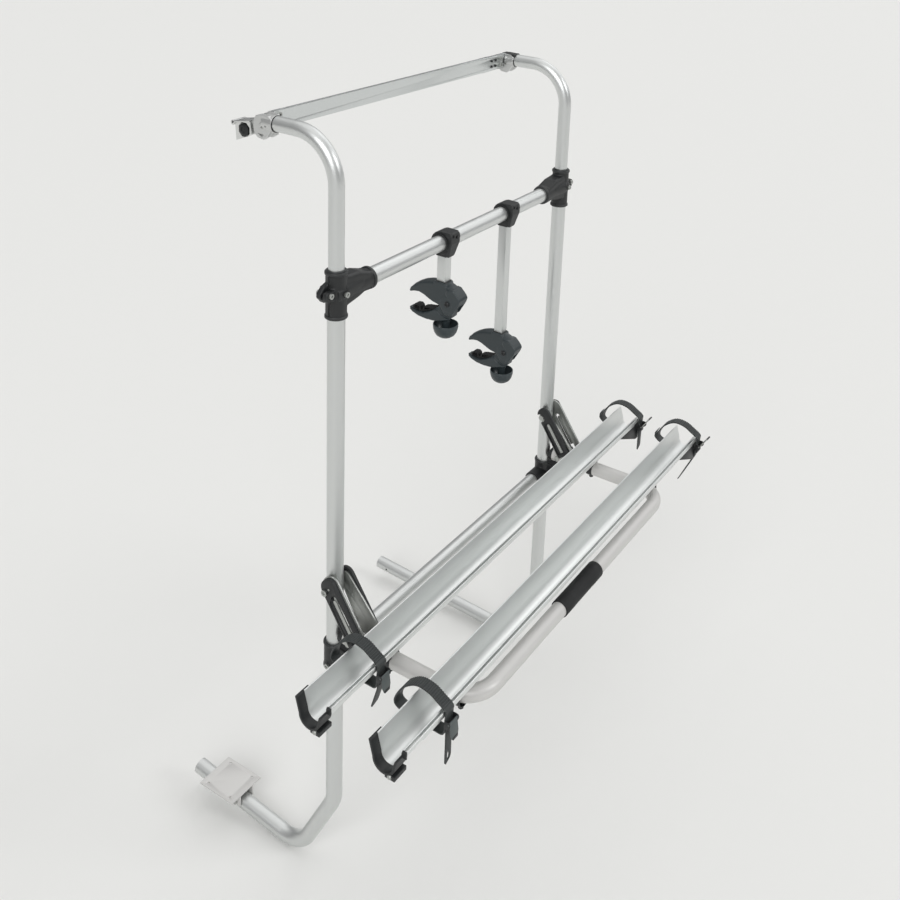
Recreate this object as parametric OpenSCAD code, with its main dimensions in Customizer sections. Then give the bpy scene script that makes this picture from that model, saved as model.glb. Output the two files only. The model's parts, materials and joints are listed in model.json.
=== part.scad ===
// Bike rack for the rear wall of a motorhome: two bent uprights, telescoping top hooks,
// a platform with two wheel rails on slotted stays, and two frame arms with screw claws.
// Millimetres. X runs across the vehicle, Y towards its wall, Z up.
// The origin is the centre of the bolt pattern in the foot plate.

/* [Frame] */
// Distance between the axes of the two uprights
upright_gap = 850; // [700:1:1000]
// Outer diameter of the uprights, crossbars and platform tube
tube_d = 35; // [32:0.5:40]
// Wall of the tubes
tube_wall = 1.7; // [1.2:0.1:2.2]
// Outer diameter of the telescoping top tubes
top_tube_d = 31; // [26:0.5:31]
// Height of the top end of the uprights above the leg corner
upright_top = 1425; // [1405:1:1480]
// Distance from the uprights' top end down to the middle crossbar
middle_bar_drop = 42; // [38:1:55]
// Height of the lower crossbar
lower_bar_z = 567; // [562:1:575]
// Height of the top tubes' end axis above the uprights' top end
top_rise = 261; // [215:1:335]
// Length of each top tube inside its upright
insert_length = 280; // [200:1:400]

/* [Legs] */
// Height at which the uprights start to bend towards the vehicle
leg_bend_z = 212; // [190:1:260]
// Lean of the short diagonal stretch from the vertical
leg_lean = 27.5; // [20:0.5:35]
// Rise of the left foot stretch towards the vehicle
left_foot_rise = 6.8; // [0:0.1:9]
// Rise of the right foot stretch towards the vehicle
right_foot_rise = 3; // [0:0.1:9]
// How much higher the right leg's corner lies than the left one's
right_leg_lift = 9; // [0:1:20]
// Reach of the left leg from the upright
left_leg_reach = 421; // [400:1:520]
// Reach of the right leg from the upright
right_leg_reach = 557; // [450:1:650]
// Bend radius of the legs
leg_bend_r = 78; // [70:1:100]
// Distance from the upright to the middle of the foot plate
foot_plate_y = 320; // [300:1:335]
// Width of the foot plate across the leg
foot_plate_w = 90; // [80:1:120]
// Length of the foot plate along the leg
foot_plate_l = 105; // [95:1:140]
// Spacing of the foot plate's holes across the leg
foot_hole_x = 68; // [60:1:70]
// Spacing of the foot plate's holes along the leg
foot_hole_y = 70; // [60:1:76]
// Diameter of the foot plate's holes
foot_hole_d = 6.6; // [5:0.1:9]

/* [Platform] */
// Height of the platform tube's axis
platform_z = 630; // [622:1:640]
// Distance from the uprights to the front stretch of the platform tube
platform_reach = 352; // [345:1:400]
// Bend radius of the platform tube
platform_bend_r = 65; // [55:1:75]
// Length of the grip sleeve
grip_length = 165; // [100:1:300]
// Length of each wheel rail
rail_length = 1289; // [1150:1:1400]
// Width of a wheel rail's trough
rail_w = 62; // [56:1:64]
// Height of a wheel rail's back wall
rail_back_h = 54; // [48:1:56]
// Distance between the two wheel rails
rail_pitch = 171.6; // [165:1:178]
// Distance from the uprights to the middle of the first rail
rail_y = 147.5; // [146:0.5:152]

/* [Arms] */
// Place of the short arm along the middle crossbar
arm_1_x = 351; // [330:1:380]
// Place of the long arm along the middle crossbar
arm_2_x = 595; // [560:1:620]
// Drop of the short arm's claw pivot below the crossbar
arm_1_drop = 137; // [130:1:200]
// Drop of the long arm's claw pivot below the crossbar
arm_2_drop = 350; // [300:1:420]
// Width of the arms' square tube
arm_w = 22; // [20:0.5:24]
// Thickness of the claws
claw_w = 34; // [32:0.5:38]

/* [Hidden] */
$fn = 48;

// Fits and overruns
running_gap = 0.3;
seat_gap = 0.2;
over = 2;

// Colours as the photograph shows them
silver = "#c9cbca";
pale_grey = "#c3c1bf";
bright = "#dcdedd";
black = "#2a2c2d";
claw_grey = "#3a4145";
strap_grey = "#333838";
zinc = "#b4b7b8";

// Tubes
tube_r = tube_d / 2;
middle_bar_z = upright_top - middle_bar_drop;
top_z = upright_top + top_rise;
bore_d = tube_d - 2 * tube_wall;
top_tube_bore = top_tube_d - 2 * tube_wall;
tube_lap = 0.4;
tube_lap_d = 0.1;
top_bend_r = 95;
top_tube_reach = 155;
leg_tangent = leg_bend_r * tan(leg_lean / 2);
leg_corner_y = 98.6;
leg_corner_z = leg_bend_z - leg_tangent - leg_corner_y / tan(leg_lean);
leg_slant = leg_corner_y / sin(leg_lean);
leg_hole_inset = 39;
leg_hole_d = 6.6;

// Foot bracket
foot_axis_z = leg_corner_z + (foot_plate_y - leg_corner_y) * tan(left_foot_rise);
foot_plate_t = 3;
foot_flange_h = 26;
foot_flange_t = 3;
foot_plate_top = foot_axis_z + tube_r + seat_gap + foot_plate_t;
foot_rise_gap = foot_plate_l / 2 * tan(left_foot_rise);
foot_top_z = foot_plate_top + foot_rise_gap;
foot_bolt_inset = 14;
foot_bolt_up = 8;

// Tee clamps
tee_wall = 3;
tee_r = tube_r + tee_wall;
tee_below = 50;
tee_cap = 3;
tee_bottom = middle_bar_z - tee_below;
tee_top = upright_top + tee_cap;
tee_reach = 96;
tee_rim = 1.2;
tee_rim_l = 6;
tee_web = 26;
tee_web_recess = 2.5;
tee_lug_reach = 42;
tee_lug_t = 11;
tee_lug_gap = 3;
tee_lug_h = 42;
tee_lug_up = 6;
tee_lug_z = middle_bar_z + tee_lug_up;
tee_lug_bolt_in = 11;
tee_boss_r = 11;
tee_boss_out = 4;
tee_boss_z = middle_bar_z + 2;
tee_web_shares = [[0.17, 0.84], [0.17, 0], [0.94, 0], [0.94, 0.48], [0.86, 0.56],
                  [0.36, 0.78]];
tee_recess_shares = [[0.33, 0.66], [0.33, 0.5], [0.84, 0.46], [0.8, 0.5]];
tee_lug_shares = [[0.655, 0], [0.19, 0.17], [0, 0.5], [0.19, 0.83], [0.655, 1]];
clamp_bolt_r = 3;
clamp_bolt_over = 6;
clamp_head_r = 5.5;
clamp_head_h = 5;

// Lower clamps
low_r = 22.5;
low_socket_r = 21.5;
low_below = 22;
low_above = 38;
low_bottom = lower_bar_z - low_below;
low_top = lower_bar_z + low_above;
low_reach = 58;
low_rib_w = 26;
low_bolt_up = 11;
low_arm_shares = [[-0.37, 0.14], [-0.37, 0.7], [-0.8, 0.93], [-1.2, 0.95], [-1.16, 0.54],
                  [-0.92, 0.17]];
low_rib_shares = [[-0.33, 0.07], [-0.33, 0.66], [-0.92, 0.61], [-1.12, 0.47], [-0.88, 0.14]];
hinge_y = 50;
tongue_w = 12;
tongue_r = 11;
tongue_gap = 0.6;
pin_r = 4;
pin_fit = 0.1;
pin_head_r = 7;
pin_head_h = 3;
plug_sweep_r = 29;
plug_length = 12;
plug_insert = 16;
slot_end_gap = 4;
slot_top_gap = 3;
grip_wall = 2.5;
grip_x = 321;

// Stays
stay_pivot_z = 738;
stay_lean = 35;
stay_offset = 16;
stay_half_w = 24;
stay_pin_at = 140.8;
stay_top_up = 3;
stay_spacer_lap = 2;
stay_inner = 19.5;
stay_plate_t = 3.5;
stay_cover_t = 8;
stay_cover_inset = 2;
stay_cover_slot = 1;
stay_inner_r = 16;
stay_inner_shares = [[-0.085, 0], [-0.2, -0.915], [-0.021, -0.76]];
stay_slot_half = 7.5;
stay_slot_start = 20;
stay_pin_r = 4;
stay_bolt_r = 4;
stay_bolt_head_r = 7;
stay_bolt_head_h = 4;
stay_washer_r = 11;

// Top
knuckle_ring_y = 155;
knuckle_ring_l = 6;
knuckle_spigot_l = 30;
knuckle_pin_y = 171;
knuckle_pin_drop = 9;
knuckle_half = 15;
knuckle_r = 24;
hook_tongue_w = 12;
hook_tongue_r = 8;
hook_gap = 0.5;
hook_pin_r = 3;
strip_h = 37;
strip_drop = 1.5;
strip_t = 4;
strip_y = 175;
strip_inset = 17;
strip_pad_t = 5;
strip_pad_l = 32;
strip_bolt_inset = 16;
strip_bolt_pitch = 17;
strip_nut_h = 3;
hook_half = 14;
hook_back_y = 199;
hook_l = 45;
hook_flange_t = 3;
hook_lip_r = 5;
hook_lip_y = 247;
hook_lip_drop = 12;
hook_block_shares = [[0, -0.667], [0.09, -0.067], [1, -0.267], [0.933, -1.044]];
hook_flange_shares = [[0.09, -0.067], [0.09, 0], [1.067, -0.156], [1.067, -0.311]];
hook_knob_r = 13;
hook_knob_l = 9;
hook_knob_out = 3;
hook_knob_y = 219;
hook_knob_drop = 22;

// Rails
rail_wall = 2.2;
rail_seat = 1.5;
rail_floor = platform_z + tube_r + rail_seat;
rail_r = 22;
rail_front_h = 48;
rail_lip_w = 11;
rail_lip_h = 12;
rail_groove_w = 5;
rail_groove_d = 9;
rail_over = (rail_length - upright_gap) / 2;
rail_x0 = -rail_over;
rail_notch_l = 46;
rail_notch_h = 5;
cap_out = 20;
cap_lip_down = 3;
cap_band = 14;
cap_wall = 3;
cap_foot_h = 7;
saddle_l = 34;
saddle_wall = 3;
saddle_cradle_h = 6;
saddle_shift = 9;

// Arms
bush_wall = 3;
bush_l = 40;
clamp_l = 34;
clamp_wall = 5;
clamp_plate_t = 9;
clamp_plate_in = 3;
clamp_plate_up = 22;
clamp_foot_h = 6;
clamp_foot_in = 8;
arm_wall = 2;
claw_l = 100;
claw_top = 46;
claw_insert = 12;
claw_pivot_y = -22;
claw_hub_r = 20;
claw_cheek = 5.4;
claw_pin_r = 4;
jaw_clear = 0.6;
knob_y = 13;
knob_r = 28;
knob_h = 34;
knob_rod_r = 5;
knob_hub_r = 10;
knob_neck = 12;
knob_seat_z = -49;
knob_boss_h = 10;
knob_rod_gap = 1;
pad_inset = 2;

// Straps
strap_w = 25;
strap_t = 4;
strap_gap = 0.4;
near_strap_1_share = 0.374;
near_strap_2_share = 0.456;
far_strap_share = 0.93;
near_strap_1_x = -near_strap_1_share * rail_over;
near_strap_2_x = -near_strap_2_share * rail_over;
far_strap_x = upright_gap + far_strap_share * rail_over;

module placed()
{
    translate([0, -foot_plate_y, -foot_top_z])
        children();
}

// Left half in the plane x = 0, right half mirrored about the rack's middle
module on_side(side)
{
    if (side == 0)
        children();
    else
        translate([upright_gap, 0, 0])
            mirror([1, 0, 0])
                children();
}

// Profile drawn as (y, z) points, extruded along X and centred on x
module side_profile(x, w)
{
    translate([x - w / 2, 0, 0])
        rotate([90, 0, 90])
            linear_extrude(w)
                children();
}

module x_cylinder(x, y, z, r, l)
{
    translate([x, y, z])
        rotate([0, 90, 0])
            cylinder(r = r, h = l);
}

module y_cylinder(x, y, z, r, l)
{
    translate([x, y, z])
        rotate([-90, 0, 0])
            cylinder(r = r, h = l);
}

function scaled(shares, wide, high) = [for (p = shares) [p[0] * wide, p[1] * high]];

module ring(d, bore)
{
    difference() {
        circle(d = d);
        if (bore > 0)
            circle(d = bore);
    }
}

// Turtle of [straight length, bend radius, turn towards +Y] steps along +Z. Each bend is a
// hair thicker than the straights, which end inside its wall.
module tube_run(steps, d, bore, i = 0)
{
    if (i < len(steps)) {
        straight = steps[i][0];
        radius = steps[i][1];
        turn = steps[i][2];
        start = i > 0 ? -tube_lap : 0;
        stop = turn != 0 ? straight + tube_lap : straight;
        translate([0, 0, start])
            linear_extrude(stop - start)
                ring(d, bore);
        translate([0, 0, straight]) {
            if (turn != 0)
                translate([0, radius, 0])
                    rotate([90, 0, -90])
                        rotate_extrude(angle = turn)
                            translate([radius, 0])
                                ring(d + tube_lap_d, bore > 0 ? bore - tube_lap_d : 0);
            translate([0, radius * (1 - cos(turn)), radius * sin(turn)])
                rotate([-turn, 0, 0])
                    tube_run(steps, d, bore, i + 1);
        }
    }
}

module upright(reach, rise, lift)
{
    turn = 90 + rise - leg_lean;
    tangent = leg_bend_r * tan(turn / 2);
    foot_run = (reach - leg_corner_y) / cos(rise) - tangent;
    hole_at = reach - leg_hole_inset;
    hole_z = leg_corner_z + lift + (hole_at - leg_corner_y) * tan(rise);
    difference() {
        translate([0, 0, upright_top])
            rotate([0, 180, 0])
                tube_run(
                    [[upright_top - leg_bend_z - lift, leg_bend_r, leg_lean],
                     [leg_slant - leg_tangent - tangent, leg_bend_r, turn],
                     [foot_run, 0, 0]],
                    tube_d, bore_d);
        x_cylinder(-tube_d, hole_at, hole_z, leg_hole_d / 2, 2 * tube_d);
        x_cylinder(-tube_d, 0, stay_pivot_z, stay_bolt_r + seat_gap, 2 * tube_d);
    }
}

module left_upright()
{
    color(silver) placed() upright(left_leg_reach, left_foot_rise, 0);
}

module right_upright()
{
    color(silver) placed()
        translate([upright_gap, 0, 0])
            upright(right_leg_reach, right_foot_rise, right_leg_lift);
}

module crossbar(z, inset)
{
    translate([inset, 0, z])
        rotate([0, 90, 0])
            linear_extrude(upright_gap - 2 * inset)
                ring(tube_d, bore_d);
}

bar_inset = tube_r + 4;

module middle_crossbar()
{
    color(bright) placed() crossbar(middle_bar_z, bar_inset);
}

module lower_crossbar()
{
    color(silver) placed() crossbar(lower_bar_z, bar_inset);
}

// Cast tee that joins upright, top tube and middle crossbar, split on its outer side
module tee_web_plate(shares, w)
{
    translate([0, w / 2, middle_bar_z])
        rotate([90, 0, 0])
            linear_extrude(w)
                mirror([0, 1])
                    polygon(scaled(shares, tee_reach, tee_below));
}

module tee_clamp()
{
    difference() {
        union() {
            translate([0, 0, tee_bottom])
                cylinder(r = tee_r, h = tee_top - tee_bottom);
            for (z = [tee_bottom, tee_top - tee_rim_l])
                translate([0, 0, z])
                    cylinder(r = tee_r + tee_rim, h = tee_rim_l);
            x_cylinder(0, 0, middle_bar_z, tee_r, tee_reach);
            x_cylinder(tee_reach - tee_rim_l, 0, middle_bar_z, tee_r + tee_rim, tee_rim_l);
            difference() {
                tee_web_plate(tee_web_shares, tee_web);
                for (s = [-1, 1])
                    translate([0, s * (tee_web - tee_web_recess), 0])
                        tee_web_plate(tee_recess_shares, tee_web);
            }
            for (s = [-1, 1])
                translate([-tee_lug_reach, s * (tee_lug_gap + tee_lug_t) / 2 - tee_lug_t / 2,
                           tee_lug_z - tee_lug_h / 2])
                    tee_lug();
            y_cylinder(0, -tee_r - tee_boss_out, tee_boss_z, tee_boss_r, tee_r);
        }
        translate([0, 0, tee_bottom - over])
            cylinder(r = tube_r + seat_gap / 2, h = upright_top - tee_bottom + over);
        translate([0, 0, upright_top - over])
            cylinder(r = top_tube_d / 2 + running_gap, h = tee_top - upright_top + 2 * over);
        x_cylinder(bar_inset, 0, middle_bar_z, tube_r + seat_gap / 2, tee_reach);
        translate([-tee_lug_reach - over, -tee_lug_gap / 2, tee_bottom - over])
            cube([tee_lug_reach, tee_lug_gap, tee_top - tee_bottom + 2 * over]);
        y_cylinder(-tee_lug_reach + tee_lug_bolt_in, -tee_r, tee_lug_z,
                   clamp_bolt_r + seat_gap, 2 * tee_r);
        y_cylinder(0, -tee_r - tee_boss_out - over, tee_boss_z, clamp_bolt_r + seat_gap, tee_r);
    }
}

module tee_lug()
{
    rotate([90, 0, 0])
        translate([0, 0, -tee_lug_t])
            linear_extrude(tee_lug_t)
                polygon(scaled(tee_lug_shares, tee_lug_reach, tee_lug_h));
}

module left_tee_clamp()
{
    color(black) placed() on_side(0) tee_clamp();
}

module right_tee_clamp()
{
    color(black) placed() on_side(1) tee_clamp();
}

// Cast clamp with a socket for the lower crossbar and a hinge tongue for the platform
module lower_clamp()
{
    difference() {
        union() {
            translate([0, 0, low_bottom])
                cylinder(r = low_r, h = low_top - low_bottom);
            x_cylinder(0, 0, lower_bar_z, low_socket_r, low_reach);
            translate([0, 0, low_bottom]) {
                side_profile(0, tongue_w)
                    polygon(scaled(low_arm_shares, hinge_y, platform_z - low_bottom));
                side_profile(0, low_rib_w)
                    polygon(scaled(low_rib_shares, hinge_y, platform_z - low_bottom));
            }
            x_cylinder(-tongue_w / 2, -hinge_y, platform_z, tongue_r, tongue_w);
        }
        translate([0, 0, low_bottom - over])
            cylinder(r = tube_r + seat_gap / 2, h = low_top - low_bottom + 2 * over);
        x_cylinder(bar_inset, 0, lower_bar_z, tube_r + seat_gap / 2, low_reach);
        x_cylinder(-tongue_w, -hinge_y, platform_z, pin_r + pin_fit, 2 * tongue_w);
        x_cylinder(-low_r - over, 0, low_bottom + low_bolt_up, clamp_bolt_r + seat_gap, low_r);
    }
}

module left_lower_clamp()
{
    color(black) placed() on_side(0) lower_clamp();
}

module right_lower_clamp()
{
    color(black) placed() on_side(1) lower_clamp();
}

// Socket screw: shank along +Z from the head's seat at z = 0, head below it
module screw(r, l, head_r, head_h)
{
    socket_r = 0.5 * head_r;
    difference() {
        union() {
            cylinder(r = r, h = l);
            translate([0, 0, -head_h])
                cylinder(r = head_r, h = head_h);
        }
        translate([0, 0, -head_h - over])
            cylinder(r = socket_r, h = over + 0.6 * head_h, $fn = 6);
    }
}

module frame_bolts_side()
{
    lug_x = -tee_lug_reach + tee_lug_bolt_in;
    translate([lug_x, -tee_lug_gap / 2 - tee_lug_t, tee_lug_z])
        rotate([-90, 0, 0])
            screw(clamp_bolt_r, 2 * tee_lug_t + tee_lug_gap + clamp_bolt_over, clamp_head_r,
                  clamp_head_h);
    y_cylinder(lug_x, tee_lug_gap / 2 + tee_lug_t, tee_lug_z, clamp_head_r, clamp_head_h);
    translate([0, -tee_r - tee_boss_out, tee_boss_z])
        rotate([-90, 0, 0])
            screw(clamp_bolt_r, tee_boss_out + tee_wall, clamp_head_r, clamp_head_h);
    translate([-low_r, 0, low_bottom + low_bolt_up])
        rotate([0, 90, 0])
            screw(clamp_bolt_r, low_r - tube_r - seat_gap, clamp_head_r, clamp_head_h);
}

module stay_bolt()
{
    reach = stay_inner + stay_plate_t;
    translate([-reach - stay_cover_t, 0, stay_pivot_z])
        rotate([0, 90, 0])
            screw(stay_bolt_r, 2 * reach + stay_cover_t, stay_bolt_head_r, stay_bolt_head_h);
    x_cylinder(reach, 0, stay_pivot_z, stay_bolt_head_r, stay_bolt_head_h);
    for (s = [-1, 1])
        difference() {
            x_cylinder(s < 0 ? -stay_inner + running_gap : tube_r - stay_spacer_lap, 0,
                       stay_pivot_z, stay_bolt_head_r,
                       stay_inner - tube_r + stay_spacer_lap - running_gap);
            translate([0, 0, stay_pivot_z - tube_d])
                cylinder(r = tube_r, h = 2 * tube_d);
        }
}

module foot_bolt()
{
    y = foot_plate_y - foot_plate_l / 2 + foot_bolt_inset;
    z = foot_top_z - foot_plate_t - foot_flange_h + foot_bolt_up;
    half = tube_r + seat_gap + foot_flange_t;
    for (s = [-1, 1])
        x_cylinder(s < 0 ? -half - clamp_head_h : half, y, z, clamp_head_r, clamp_head_h);
}

module frame_bolts()
{
    color(zinc) placed() {
        for (side = [0, 1])
            on_side(side) {
                frame_bolts_side();
                stay_bolt();
            }
        foot_bolt();
    }
}

// Folded plate on the left foot: flanges hug the leg, holes take the wall bolts
module foot_bracket()
{
    half = tube_r + seat_gap;
    y0 = foot_plate_y - foot_plate_l / 2;
    color(pale_grey) placed()
        difference() {
            union() {
                translate([-foot_plate_w / 2, y0, foot_top_z - foot_plate_t])
                    cube([foot_plate_w, foot_plate_l, foot_plate_t]);
                for (s = [-1, 1])
                    translate([s * (half + foot_flange_t / 2) - foot_flange_t / 2, y0,
                               foot_top_z - foot_plate_t - foot_flange_h])
                        cube([foot_flange_t, foot_plate_l, foot_flange_h + foot_plate_t / 2]);
            }
            for (sx = [-1, 1])
                for (sy = [-1, 1])
                    translate([sx * foot_hole_x / 2, foot_plate_y + sy * foot_hole_y / 2,
                               foot_top_z - foot_plate_t - over])
                        cylinder(d = foot_hole_d, h = foot_plate_t + 2 * over);
        }
}

module top_tube()
{
    rise = top_z - top_bend_r - upright_top + insert_length;
    translate([0, 0, upright_top - insert_length])
        tube_run([[rise, top_bend_r, 90], [top_tube_reach - top_bend_r, 0, 0]],
                 top_tube_d, top_tube_bore);
}

module left_top_tube()
{
    color(silver) placed() top_tube();
}

module right_top_tube()
{
    color(silver) placed() translate([upright_gap, 0, 0]) top_tube();
}

// Cast end of a top tube: spigot, collar, pad for the strip and clevis for the hook
module knuckle()
{
    pin_z = top_z - knuckle_pin_drop;
    slot_y = knuckle_ring_y + knuckle_ring_l;
    difference() {
        union() {
            y_cylinder(0, knuckle_ring_y - knuckle_spigot_l, top_z,
                       top_tube_bore / 2 - seat_gap / 2, knuckle_spigot_l + knuckle_ring_l / 2);
            y_cylinder(0, knuckle_ring_y, top_z, top_tube_d / 2, knuckle_ring_l);
            difference() {
                x_cylinder(-knuckle_half, knuckle_pin_y, pin_z, knuckle_r, 2 * knuckle_half);
                translate([-tube_d, knuckle_ring_y - tube_d, pin_z - tube_d])
                    cube([2 * tube_d, tube_d, 2 * tube_d]);
            }
            translate([knuckle_half - over, strip_y + strip_t, top_z - strip_drop - strip_h / 2])
                cube([strip_pad_l + over, strip_pad_t, strip_h]);
        }
        translate([-hook_tongue_w / 2 - hook_gap, slot_y, pin_z - knuckle_r - over])
            cube([hook_tongue_w + 2 * hook_gap, 2 * knuckle_r, 2 * knuckle_r + 2 * over]);
        x_cylinder(-tube_d, knuckle_pin_y, pin_z, hook_pin_r + pin_fit, 2 * tube_d);
        for (s = [-1, 1])
            y_cylinder(strip_inset + strip_bolt_inset, strip_y,
                       top_z - strip_drop + s * strip_bolt_pitch / 2,
                       clamp_bolt_r + seat_gap, 2 * strip_pad_l);
    }
}

module left_knuckle()
{
    color(zinc) placed() on_side(0) knuckle();
}

module right_knuckle()
{
    color(zinc) placed() on_side(1) knuckle();
}

module top_strip()
{
    color(bright) placed()
        difference() {
            translate([strip_inset, strip_y, top_z - strip_drop - strip_h / 2])
                cube([upright_gap - 2 * strip_inset, strip_t, strip_h]);
            for (side = [0, 1])
                on_side(side)
                    for (s = [-1, 1])
                        y_cylinder(strip_inset + strip_bolt_inset, strip_y - over,
                                   top_z - strip_drop + s * strip_bolt_pitch / 2,
                                   clamp_bolt_r + seat_gap, strip_t + 2 * over);
        }
}

module strip_bolt()
{
    grip = strip_t + strip_pad_t;
    screw(clamp_bolt_r, grip + strip_nut_h, clamp_head_r, clamp_head_h);
    translate([0, 0, grip])
        cylinder(r = clamp_head_r, h = strip_nut_h);
}

module top_bolts()
{
    color(zinc) placed()
        for (side = [0, 1])
            on_side(side) {
                for (s = [-1, 1])
                    translate([strip_inset + strip_bolt_inset, strip_y,
                               top_z - strip_drop + s * strip_bolt_pitch / 2])
                        rotate([-90, 0, 0])
                            strip_bolt();
                x_cylinder(-knuckle_half, knuckle_pin_y, top_z - knuckle_pin_drop,
                           hook_pin_r, 2 * knuckle_half);
            }
}

// Tilting wall hook: tongue in the knuckle, block with a round recess, flange and curled lip
module hook()
{
    pin_z = top_z - knuckle_pin_drop;
    knob_z = top_z - hook_knob_drop;
    difference() {
        union() {
            x_cylinder(-hook_tongue_w / 2, knuckle_pin_y, pin_z, hook_tongue_r, hook_tongue_w);
            side_profile(0, hook_tongue_w)
                polygon([[knuckle_pin_y, pin_z - hook_tongue_r],
                         [hook_back_y + over, pin_z - hook_tongue_r],
                         [hook_back_y + over, pin_z + hook_tongue_r - hook_flange_t],
                         [knuckle_pin_y, pin_z + hook_tongue_r]]);
            translate([0, hook_back_y, top_z]) {
                side_profile(0, 2 * hook_half)
                    polygon(scaled(hook_block_shares, hook_l, hook_l));
                side_profile(0, 2 * hook_half + 2 * hook_flange_t)
                    polygon(scaled(hook_flange_shares, hook_l, hook_l));
            }
            x_cylinder(-hook_half - hook_flange_t, hook_lip_y, top_z - hook_lip_drop, hook_lip_r,
                       2 * hook_half + 2 * hook_flange_t);
        }
        x_cylinder(-tube_d, knuckle_pin_y, pin_z, hook_pin_r + pin_fit, 2 * tube_d);
        x_cylinder(-tube_d, hook_knob_y, knob_z, hook_pin_r + pin_fit, 2 * tube_d);
        x_cylinder(-hook_half - over, hook_knob_y, knob_z, hook_knob_r + hook_gap,
                   hook_knob_l - hook_knob_out + hook_gap + over);
    }
}

module left_hook()
{
    color(bright) placed() on_side(0) hook();
}

module right_hook()
{
    color(bright) placed() on_side(1) hook();
}

module hook_knob()
{
    knob_z = top_z - hook_knob_drop;
    rod_l = 2 * hook_half + hook_knob_out;
    x_cylinder(-hook_half - hook_knob_out, hook_knob_y, knob_z, hook_knob_r, hook_knob_l);
    x_cylinder(-hook_half - hook_knob_out, hook_knob_y, knob_z, hook_pin_r,
               rod_l + hook_gap + strip_nut_h);
    x_cylinder(hook_half + hook_gap, hook_knob_y, knob_z, 2 * hook_pin_r, strip_nut_h);
}

module left_hook_knob()
{
    color(zinc) placed() on_side(0) hook_knob();
}

module right_hook_knob()
{
    color(zinc) placed() on_side(1) hook_knob();
}

// Platform tube: one U of tube whose ends fork round the lower clamps' tongues
tube_end_y = hinge_y - plug_sweep_r + plug_length;

module hinge_slot()
{
    slot_w = tongue_w + 2 * tongue_gap;
    translate([-slot_w / 2, -hinge_y - tongue_r - slot_end_gap, platform_z - tube_d])
        cube([slot_w, hinge_y, tube_d + tongue_r + slot_top_gap]);
}

module platform_run(d, bore)
{
    side_run = platform_reach - tube_end_y - platform_bend_r;
    front_run = upright_gap - 2 * platform_bend_r;
    translate([0, -tube_end_y, platform_z])
        rotate([90, 0, 0])
            rotate([0, 0, -90])
                tube_run([[side_run, platform_bend_r, 90],
                          [front_run, platform_bend_r, 90],
                          [side_run, 0, 0]], d, bore);
}

module platform_tube()
{
    color(pale_grey) placed()
        difference() {
            platform_run(tube_d, bore_d);
            for (side = [0, 1])
                on_side(side) {
                    hinge_slot();
                    x_cylinder(-tube_d, -hinge_y, platform_z, pin_r + pin_fit, 2 * tube_d);
                    x_cylinder(-tube_d, -stay_pin_y, stay_pin_z, stay_pin_r + pin_fit,
                               2 * tube_d);
                }
        }
}

module tube_end_plugs()
{
    color(black) placed()
        for (side = [0, 1])
            on_side(side)
                difference() {
                    intersection() {
                        y_cylinder(0, -tube_end_y - plug_insert, platform_z, tube_r,
                                   plug_insert + plug_length);
                        x_cylinder(-tube_d, -hinge_y, platform_z, plug_sweep_r, 2 * tube_d);
                        union() {
                            y_cylinder(0, -tube_end_y - plug_insert, platform_z,
                                       bore_d / 2 - seat_gap / 2, plug_insert + tube_lap);
                            y_cylinder(0, -tube_end_y, platform_z, tube_r, plug_length);
                        }
                    }
                    hinge_slot();
                    x_cylinder(-tube_d, -hinge_y, platform_z, pin_r + pin_fit, 2 * tube_d);
                }
}

module hinge_pins()
{
    half = tube_r + seat_gap;
    color(zinc) placed()
        for (side = [0, 1])
            on_side(side) {
                x_cylinder(-half, -hinge_y, platform_z, pin_r, 2 * half);
                for (end = [-half - pin_head_h, half])
                    x_cylinder(end, -hinge_y, platform_z, pin_head_r, pin_head_h);
            }
}

module grip_sleeve()
{
    color(black) placed()
        translate([grip_x, -platform_reach, platform_z])
            rotate([0, 90, 0])
                linear_extrude(grip_length)
                    ring(tube_d + 2 * grip_wall, tube_d + seat_gap);
}

// Area of a trough with a round floor and straight leaning sides, grown by a margin
module trough(grow)
{
    r = rail_r + grow;
    side = rail_w / 2 + grow;
    lean = 2 * atan((side - r) / (rail_back_h - rail_r));
    translate([0, rail_r])
        circle(r = r);
    polygon([[-r * cos(lean), rail_r - r * sin(lean)], [r * cos(lean), rail_r - r * sin(lean)],
             [side, rail_back_h], [side, 2 * rail_back_h], [-side, 2 * rail_back_h],
             [-side, rail_back_h]]);
}

// Rail section: the front wall carries a grooved lip for the straps' sliders
module rail_shape()
{
    lip_x = -rail_w / 2 - rail_lip_w / 2;
    difference() {
        union() {
            trough(0);
            translate([lip_x, rail_front_h - rail_lip_h])
                square([rail_lip_w, rail_lip_h]);
        }
        trough(-rail_wall);
        translate([-2 * rail_w, rail_front_h])
            square([2 * rail_w, rail_w]);
        translate([-rail_w, rail_back_h])
            square([2 * rail_w, 2 * rail_w]);
        translate([lip_x + rail_wall, rail_front_h - rail_groove_d])
            square([rail_groove_w, rail_w]);
    }
}

module rail(index)
{
    color(bright) placed()
        translate([rail_x0, -rail_y - index * rail_pitch, rail_floor])
            difference() {
                rotate([90, 0, 90])
                    linear_extrude(rail_length)
                        rail_shape();
                for (x = [-over, rail_length - rail_notch_l])
                    translate([x, -rail_w, rail_front_h - rail_lip_h - over])
                        cube([rail_notch_l + over, rail_w / 2, rail_notch_h]);
            }
}

module rail_1()
{
    rail(0);
}

module rail_2()
{
    rail(1);
}

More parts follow.
